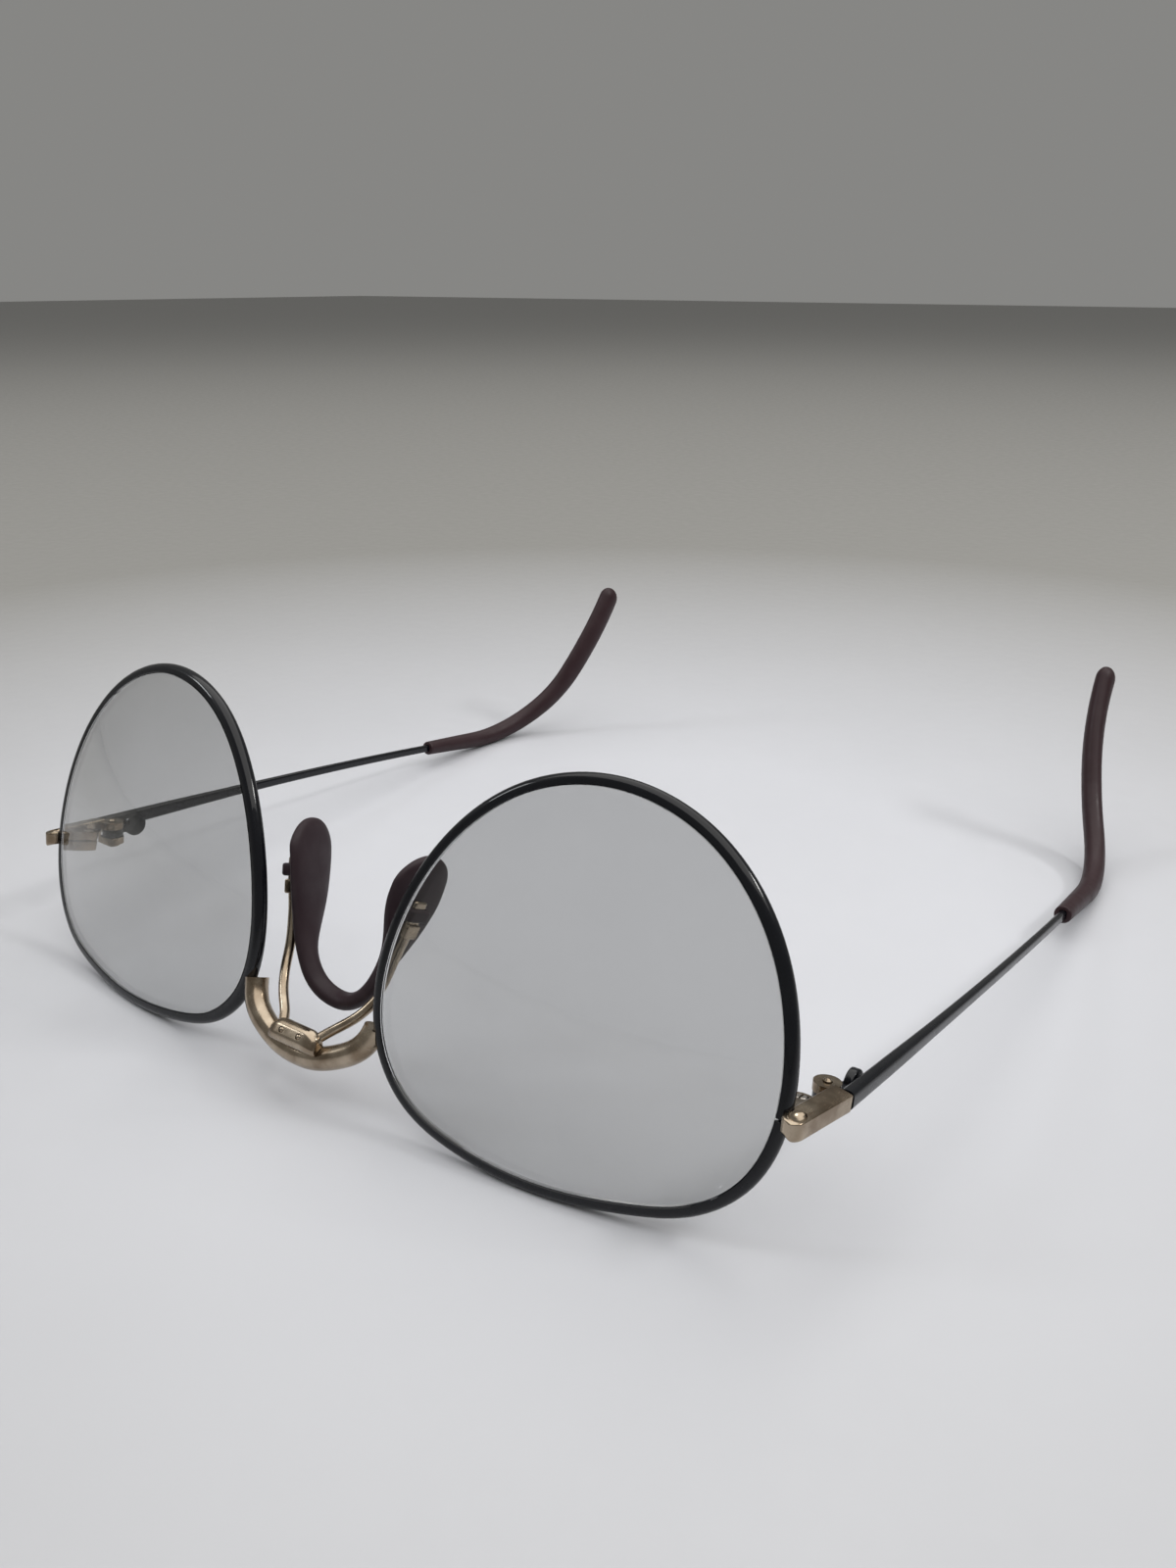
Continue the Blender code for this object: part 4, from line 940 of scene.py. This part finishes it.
def pad_rings():
    path = natural_spline(full_path(PAD_HALF), PAD_STEP)
    points = [Vector(p) for p in path]
    lengths = [0.0]
    for a, b in zip(points, points[1:]):
        lengths.append(lengths[-1] + (b - a).length)
    total = lengths[-1]
    centres, stations = end_refined(points, lengths, PAD_ROUND_LENGTH)
    rings = []
    for i, (centre, station) in enumerate(zip(centres, stations)):
        before, after = centres[max(i - 1, 0)], centres[min(i + 1, len(centres) - 1)]
        tangent = (after - before).normalized()
        share = (abs(station - total / 2.0) - PAD_FLARE_START) / PAD_FLARE_LENGTH
        share = min(1.0, max(0.0, share))
        blend = share * share * (3.0 - 2.0 * share)
        side = 1.0 if centre.x >= 0.0 else -1.0
        splay = PAD_SPLAY * blend
        across = Vector((side * math.sin(splay), math.cos(splay), 0.0))
        across = (across - tangent * across.dot(tangent)).normalized()
        square = tangent.cross(across)
        half_width = STRAP_HALF_WIDTH + (PAD_HALF_WIDTH - STRAP_HALF_WIDTH) * blend
        from_end = min(station, total - station)
        close = min(1.0, from_end / PAD_ROUND_LENGTH)
        shrink = max(PAD_END_SHARE, math.sqrt(max(0.0, 1.0 - (1.0 - close) ** 2)))
        wide = across * half_width * shrink
        thick = square * PAD_HALF_THICKNESS * shrink**PAD_END_THINNING
        rings.append(oval_ring(centre, wide, thick, PAD_SIDES, PAD_SQUARENESS))
    return rings


def end_refined(points, lengths, reach):
    """Path points with extra stations close to both ends, where the pad rounds off."""
    total = lengths[-1]
    clear = reach * PAD_ROUND_CLEAR
    close = [reach * (1.0 - math.cos(math.radians(a))) for a in PAD_ROUND_ANGLES]
    inner = [s for s in lengths if clear < s < total - clear]
    stations = close + inner + [total - s for s in reversed(close)]
    columns = np.array([tuple(p) for p in points])
    sampled = [np.interp(stations, lengths, columns[:, k]) for k in range(3)]
    return [Vector(p) for p in zip(*sampled)], stations


def oval_ring(centre, across, square, count, power):
    """Rounded-rectangle ring about a centre, in the part frame."""
    ring = []
    for k in range(count):
        angle = math.tau * k / count
        c, s = math.cos(angle), math.sin(angle)
        a = math.copysign(abs(c) ** (2.0 / power), c)
        b = math.copysign(abs(s) ** (2.0 / power), s)
        ring.append(place(*(centre + across * a + square * b)))
    return ring


def make_pad():
    pad = add_object("saddle_nose_pad_look", loft_mesh("saddle_nose_pad", pad_rings()), PARTS)
    tab = tab_matrix(LOOP_SHARE)
    inwards = LOOP_WALL + TAB_THICKNESS / 2.0 - LOOP_SIZE[0] / 2.0
    inset = moved((inwards, 0.0, 0.0))
    slot_size = (
        TAB_THICKNESS + 2 * LOOP_SLOT_GAP, TAB_WIDTH + 2 * LOOP_SLOT_GAP, LOOP_SLOT_LENGTH,
    )
    for side, label in ((1.0, "right"), (-1.0, "left")):
        flip = Matrix.Scale(side, 4, Vector((1.0, 0.0, 0.0)))
        loop = box(f"pad_loop_{label}", LOOP_SIZE, flip @ tab @ inset)
        slot = box(f"pad_slot_{label}", slot_size, flip @ tab)
        if side < 0.0:
            for operand in (loop, slot):
                operand.data.transform(operand.matrix_world)
                operand.matrix_world = Matrix.Identity(4)
                operand.data.flip_normals()
        bevel(loop, LOOP_BEVEL)
        boolean(pad, loop, "UNION")
        boolean(pad, slot)
    show(pad)


def hinge_matrix():
    """Hinge axis as Z, square to the temple."""
    return Matrix.Translation(place(*HINGE_POINT)) @ Matrix.Rotation(-TEMPLE_DROP, 4, "X")


def rounded_polygon(corners, radii, steps):
    """Convex counter-clockwise outline with each corner rounded by its own radius."""
    outline = []
    count = len(corners)
    for i, corner in enumerate(corners):
        here = Vector(corner)
        before = (Vector(corners[i - 1]) - here).normalized()
        after = (Vector(corners[(i + 1) % count]) - here).normalized()
        half = before.angle(after) / 2.0
        reach = radii[i] / math.tan(half)
        centre = here + (before + after).normalized() * radii[i] / math.sin(half)
        start = here + before * reach - centre
        turn = math.pi - 2.0 * half
        for k in range(steps + 1):
            angle = turn * k / steps
            c, d = math.cos(angle), math.sin(angle)
            spoke = Vector((start.x * c - start.y * d, start.x * d + start.y * c))
            outline.append(centre + spoke)
    return outline


def end_bar_mesh(name, length):
    """Bar along -Y from its rear face, with a creased section and a nose rounded in plan."""
    section = rounded_polygon(END_SECTION, END_ROUNDING, END_ROUND_STEPS)
    rings = [[Vector((p.x, 0.0, p.y)) * MM for p in section]]
    for degrees in END_NOSE_ANGLES:
        angle = math.radians(degrees)
        y = END_NOSE_LENGTH * (1.0 - math.cos(angle)) - length
        narrow = math.sin(angle) ** END_NOSE_FULLNESS
        low = 1.0 - END_NOSE_DROP * (1.0 - math.sin(angle)) ** 2
        rings.append([Vector((p.x * narrow, y, p.y * low)) * MM for p in section])
    return loft_mesh(name, rings)


def make_end_pieces():
    rear, front = place(*END_REAR), place(*END_FRONT)
    length = (rear - front).length / MM
    lie = frame_matrix(rear, rear - front)
    piece = add_object("right_end_piece_look", end_bar_mesh("right_end_piece", length), PARTS, lie)
    dimple_mesh = bpy.data.meshes.new("end_dimple")
    work = bmesh.new()
    segments = ROUND_SEGMENTS
    bmesh.ops.create_uvsphere(work, u_segments=segments, v_segments=segments // 2, radius=MM)
    bmesh.ops.scale(work, vec=DIMPLE_SIZE, verts=work.verts)
    work.to_mesh(dimple_mesh)
    work.free()
    slope = Matrix.Rotation(END_CREASE_ANGLE, 4, "Y")
    across, behind_nose, height = DIMPLE_PLACE
    dimple_place = moved((across, behind_nose - length, height))
    boolean(piece, add_object("end_dimple", dimple_mesh, CUTTERS, lie @ dimple_place @ slope))
    hinge = hinge_matrix()
    boolean(piece, cylinder("front_barrel", BARREL_RADIUS, BARREL_HALF_HEIGHT, hinge, CUTTERS), "UNION")
    web = moved(WEB_PLACE)
    boolean(piece, box("front_web", WEB_SIZE, hinge @ web), "UNION")
    boolean(piece, cylinder("front_slot", SLOT_RADIUS, SLOT_HALF_HEIGHT, hinge, CUTTERS))
    gate = moved(GATE_PLACE)
    boolean(piece, box("front_gate", GATE_SIZE, hinge @ gate))
    boolean(piece, cylinder("front_bore", PIVOT_BORE_RADIUS, FRONT_BORE_HALF_HEIGHT, hinge, CUTTERS))
    boolean(piece, rim_clearance("end_trim"))
    boolean(piece, lock_clearance("end_lock_trim"))
    pair(piece)


def temple_heading(s):
    """Sideways and downward angles of the temple: a slight outward bow, then the tip's turns."""
    share = min(1.0, s / TEMPLE_STRAIGHT)
    past = max(0.0, s - TEMPLE_STRAIGHT)
    bend = past / (TEMPLE_LENGTH - TEMPLE_STRAIGHT)
    turned_in, turning_back = TIP_TURN_SHARES
    side = TEMPLE_SPLAY[0] + (TEMPLE_SPLAY[1] - TEMPLE_SPLAY[0]) * share
    side += TIP_TURN_IN * min(1.0, bend / turned_in)
    side += TIP_TURN_BACK * max(0.0, bend - turning_back) / turned_in
    drop = TEMPLE_DROP - TEMPLE_SAG * (1.0 - 2.0 * share)
    return side, drop - min(past / TIP_BEND_RADIUS, TIP_BEND_ANGLE)


def temple_point(s):
    """Centre line of the temple at a distance along it, in millimetres."""
    steps = max(2, int(s))
    x, y, z = TEMPLE_START
    ds = s / steps
    for k in range(steps):
        side, drop = temple_heading((k + 0.5) * ds)
        x += math.sin(side) * math.cos(drop) * ds
        y += math.cos(side) * math.cos(drop) * ds
        z -= math.sin(drop) * ds
    return place(x, y, z)


def rounded_rectangle(half_width, half_height, corner):
    outline = []
    for cx, cy, start in ((1, 1, 0), (-1, 1, 90), (-1, -1, 180), (1, -1, 270)):
        for k in range(CORNER_STEPS + 1):
            angle = math.radians(start + 90 * k / CORNER_STEPS)
            outline.append(
                (
                    cx * (half_width - corner) + corner * math.cos(angle),
                    cy * (half_height - corner) + corner * math.sin(angle),
                )
            )
    return outline


def make_temples():
    stations = list(np.arange(0.0, TEMPLE_CORE_END + 0.1, TEMPLE_STEP))
    scales = list(np.interp(stations, *zip(*TEMPLE_TAPER)))
    section = profile_curve(
        "temple_section", rounded_rectangle(TEMPLE_HALF_WIDTH, TEMPLE_HALF_HEIGHT, TEMPLE_CORNER)
    )
    path = [temple_point(s) for s in stations]
    mesh = curve_mesh("right_temple", path, profile=section, radii=scales)
    temple = add_object("right_temple_look", mesh, PARTS)
    pair(temple)


def tip_ring(s):
    """Oval section of the tip, widest in the plane of its bend and rounded off at the end."""
    share = (s - TIP_START) / (TEMPLE_LENGTH - TIP_START)
    half_width = TIP_MOUTH + (TIP_PADDLE - TIP_MOUTH) * share
    thickening = min(1.0, TIP_THICKENING * share)
    half_thickness = TIP_MOUTH + (TIP_HALF_THICKNESS - TIP_MOUTH) * thickening
    to_end = (TEMPLE_LENGTH - s) / TIP_ROUND_LENGTH
    shrink = math.sqrt(1.0 - (1.0 - min(1.0, to_end)) ** 2)
    from_mouth = min(1.0, (s - TIP_START) / TIP_LIP_LENGTH)
    shrink -= TIP_LIP_SHRINK * (1.0 - math.sqrt(1.0 - (1.0 - from_mouth) ** 2))
    centre = temple_point(s)
    tangent = (temple_point(s + PATH_NUDGE) - temple_point(s - PATH_NUDGE)).normalized()
    turn = temple_heading(s)[0]
    side = Vector((math.cos(turn), -math.sin(turn), 0.0))
    upward = side.cross(tangent).normalized()
    ring = []
    for k in range(TIP_SIDES):
        angle = math.tau * k / TIP_SIDES
        across = side * half_thickness * math.cos(angle) + upward * half_width * math.sin(angle)
        ring.append(centre + across * shrink * MM)
    return ring


def make_tips():
    body_end = TEMPLE_LENGTH - TIP_ROUND_LENGTH
    stations = [TIP_START + behind for behind in TIP_LIP_STATIONS]
    stations += list(np.arange(TIP_START + TIP_BODY_START, body_end, TIP_STEP))
    stations += [TEMPLE_LENGTH - TIP_ROUND_LENGTH * share for share in TIP_ROUND_SHARES]
    rings = [tip_ring(s) for s in stations] + [[temple_point(TEMPLE_LENGTH)]]
    tip = add_object("right_temple_tip_look", loft_mesh("right_temple_tip", rings), PARTS)
    bore_start, bore_end = TIP_START + TIP_BORE_INSIDE, TEMPLE_CORE_END + TIP_BORE_INSIDE
    bore_stations = [TIP_START + TIP_BORE_LEAD, *np.arange(bore_start, bore_end, TIP_BORE_STEP)]
    half_width = TEMPLE_HALF_WIDTH * TEMPLE_END_SCALE + TIP_BORE_GAP
    half_height = TEMPLE_HALF_HEIGHT * TEMPLE_END_SCALE + TIP_BORE_GAP
    section = profile_curve("bore_section", rounded_rectangle(half_width, half_height, TIP_BORE_CORNER))
    bore = curve_mesh("tip_bore", [temple_point(s) for s in bore_stations], profile=section)
    boolean(tip, add_object("tip_bore", bore, CUTTERS))
    pair(tip)


def make_temple_hinges():
    hinge = hinge_matrix()
    knuckle = cylinder("right_temple_hinge_look", KNUCKLE_RADIUS, KNUCKLE_HALF_HEIGHT, hinge)
    lug = moved(LUG_PLACE) @ Matrix.Rotation(LUG_TURN, 4, "Z")
    boolean(knuckle, box("temple_lug", LUG_SIZE, hinge @ lug), "UNION")
    on_edge = Matrix.Rotation(QUARTER_TURN, 4, "Y")
    plate = hinge @ moved(PLATE_PLACE) @ on_edge
    disc = cylinder("temple_plate", PLATE_RADIUS, PLATE_HALF_THICKNESS, plate, CUTTERS)
    bevel(disc, PLATE_BEVEL)
    boolean(knuckle, disc, "UNION")
    bore = cylinder("temple_bore", PIVOT_BORE_RADIUS, KNUCKLE_BORE_HALF_HEIGHT, hinge, CUTTERS)
    boolean(knuckle, bore)
    pair(knuckle)


def make_hinge_screws():
    """Screw up through the barrel: a domed tip above it and a slotted head below it."""
    top = BARREL_HALF_HEIGHT + PIVOT_TIP_HEIGHT
    under = -BARREL_HALF_HEIGHT - PIVOT_SEAT_GAP
    head = under - PIVOT_HEAD_HEIGHT
    dome_radius, dome_drop = PIVOT_TIP_DOME
    chamfer_in, chamfer_up = PIVOT_HEAD_CHAMFER
    profile = [
        (0.0, top), (dome_radius, top - dome_drop), (PIVOT_RADIUS, top - PIVOT_TIP_TAPER),
        (PIVOT_RADIUS, under), (PIVOT_HEAD_RADIUS, under), (PIVOT_HEAD_RADIUS, head + chamfer_up),
        (PIVOT_HEAD_RADIUS - chamfer_in, head), (0.0, head),
    ]
    screw = turned("right_hinge_screw_look", profile, hinge_matrix())
    slot_matrix = hinge_matrix() @ moved((0.0, 0.0, head))
    boolean(screw, box("hinge_screw_slot", PIVOT_SLOT_SIZE, slot_matrix))
    pair(screw)


# Stage: camera, lamps and floor
CAMERA_POINT = (112.17, -100.29, 97.11)
CAMERA_RIGHT = (0.8151, 0.5794, 0.0017)
CAMERA_UP = (-0.2111, 0.2943, 0.9321)
CAMERA_LENS = 30.154
CAMERA_SENSOR = 36.0
CAMERA_CLIP_START = 0.005
LAMPS = {
    "overhead": dict(
        place=(0.05, 0.1, 1.15), target=(0.0, 0.0, 0.0), size=(2.2, 1.9),
        watts=19.5, colour=(1.0, 0.985, 0.96),
    ),
    "side_right": dict(
        place=(0.60, 0.33, 0.60), target=(0.0, 0.0, 0.02), size=(0.22, 0.08),
        watts=1.6, colour=(1.0, 0.99, 0.97),
    ),
    "side_left": dict(
        place=(-0.9, -0.5, 0.7), target=(0.0, 0.0, 0.02), size=(0.25, 0.25),
        watts=1.6, colour=(0.95, 0.98, 1.0),
    ),
}
FLOOR_SIZE = 9.0
FLOOR_COLOUR = (0.66, 0.672, 0.718)
# Painted shade: the far floor colour, and the distances in metres over which the floor darkens to it, a
# painted fall-off of light
FLOOR_PAINTED_SHADE_COLOUR = (0.30, 0.296, 0.282)
FLOOR_PAINTED_SHADE_RANGE = (0.06, 0.30)
FLOOR_TONE_SIZE = 60.0
FLOOR_TONE = 0.97
FLOOR_GLOSS_SIZE = 4.0
FLOOR_ROUGHNESS = (0.36, 0.46)
FLOOR_NOISE_RANGE = (0.3, 0.7)
FLOOR_GRAIN_SIZE = 0.35
FLOOR_GRAIN_DEPTH = 0.01
WALL_COLOUR = (0.30, 0.298, 0.288)
SKY_STRENGTH = 0.80


def make_camera():
    right = Vector(CAMERA_RIGHT).normalized()
    back = right.cross(Vector(CAMERA_UP)).normalized()
    turn = Matrix((right, back.cross(right), back)).transposed().to_4x4()
    data = bpy.data.cameras.new("photo_view")
    data.lens = CAMERA_LENS
    data.sensor_width = CAMERA_SENSOR
    data.clip_start = CAMERA_CLIP_START
    camera = bpy.data.objects.new("photo_view", data)
    camera.matrix_world = Matrix.Translation(place(*CAMERA_POINT)) @ turn
    bpy.context.scene.collection.objects.link(camera)
    bpy.context.scene.camera = camera


def make_lamp(name, lamp):
    """Soft rectangular lamp. Places and sizes are in metres, in the part frame."""
    data = bpy.data.lights.new(name, "AREA")
    data.shape = "RECTANGLE"
    data.size, data.size_y = lamp["size"]
    data.energy = lamp["watts"]
    data.color = lamp["colour"]
    made = bpy.data.objects.new(name, data)
    made.location = lamp["place"]
    towards = Vector(lamp["target"]) - Vector(lamp["place"])
    made.rotation_euler = towards.to_track_quat("-Z", "Y").to_euler()
    bpy.context.scene.collection.objects.link(made)


def make_floor():
    """Pale table top with a very fine matt texture, and painted shade: its colour darkens with distance
    from the object to a grey like the backdrop, a painted fall-off of the light.
    """
    mesh = bpy.data.meshes.new("floor")
    work = bmesh.new()
    bmesh.ops.create_grid(work, x_segments=2, y_segments=2, size=FLOOR_SIZE / 2.0)
    work.to_mesh(mesh)
    work.free()
    floor = add_object("floor", mesh, PARTS)
    nodes = Nodes("floor")
    tone = nodes.span(nodes.noise(FLOOR_TONE_SIZE, 3.0), *FLOOR_NOISE_RANGE)
    near = nodes.mixed(tone, FLOOR_COLOUR, tuple(FLOOR_TONE * c for c in FLOOR_COLOUR))
    reach = nodes.add("ShaderNodeVectorMath", operation="LENGTH")
    nodes.link(nodes.coordinates, reach.inputs[0])
    # Painted shade: the floor darkens with distance from the object, in place of the light's fall-off
    painted_shade = nodes.span(reach.outputs["Value"], *FLOOR_PAINTED_SHADE_RANGE)
    nodes.link(nodes.mixed(painted_shade, near, FLOOR_PAINTED_SHADE_COLOUR), nodes.shader.inputs["Base Color"])
    gloss = nodes.span(nodes.noise(FLOOR_GLOSS_SIZE), *FLOOR_NOISE_RANGE, *FLOOR_ROUGHNESS)
    nodes.link(gloss, nodes.shader.inputs["Roughness"])
    grain = nodes.bump(nodes.noise(FLOOR_GRAIN_SIZE, 5.0), FLOOR_GRAIN_DEPTH)
    nodes.link(grain, nodes.shader.inputs["Normal"])
    mesh.materials.append(nodes.material)


def make_sky():
    world = bpy.data.worlds.new("studio")
    world.use_nodes = True
    background = world.node_tree.nodes["Background"]
    background.inputs["Color"].default_value = (*WALL_COLOUR, 1.0)
    background.inputs["Strength"].default_value = SKY_STRENGTH
    bpy.context.scene.world = world
    bpy.context.scene.view_settings.view_transform = "Standard"


PARTS = collection("looks")
CUTTERS = collection("cutters")
MATERIALS = {name: solid_material(name) for name in FINISHES}
MATERIALS["clear_lens"] = lens_material("clear_lens")
make_rims()
make_lenses()
make_locks()
make_bridge()
make_block()
make_arms()
make_pad()
make_end_pieces()
make_hinge_screws()
make_temples()
make_tips()
make_temple_hinges()
for cutter in list(CUTTERS.objects):
    bpy.data.objects.remove(cutter, do_unlink=True)
make_camera()
for lamp_name, lamp_settings in LAMPS.items():
    make_lamp(lamp_name, lamp_settings)
make_floor()
make_sky()
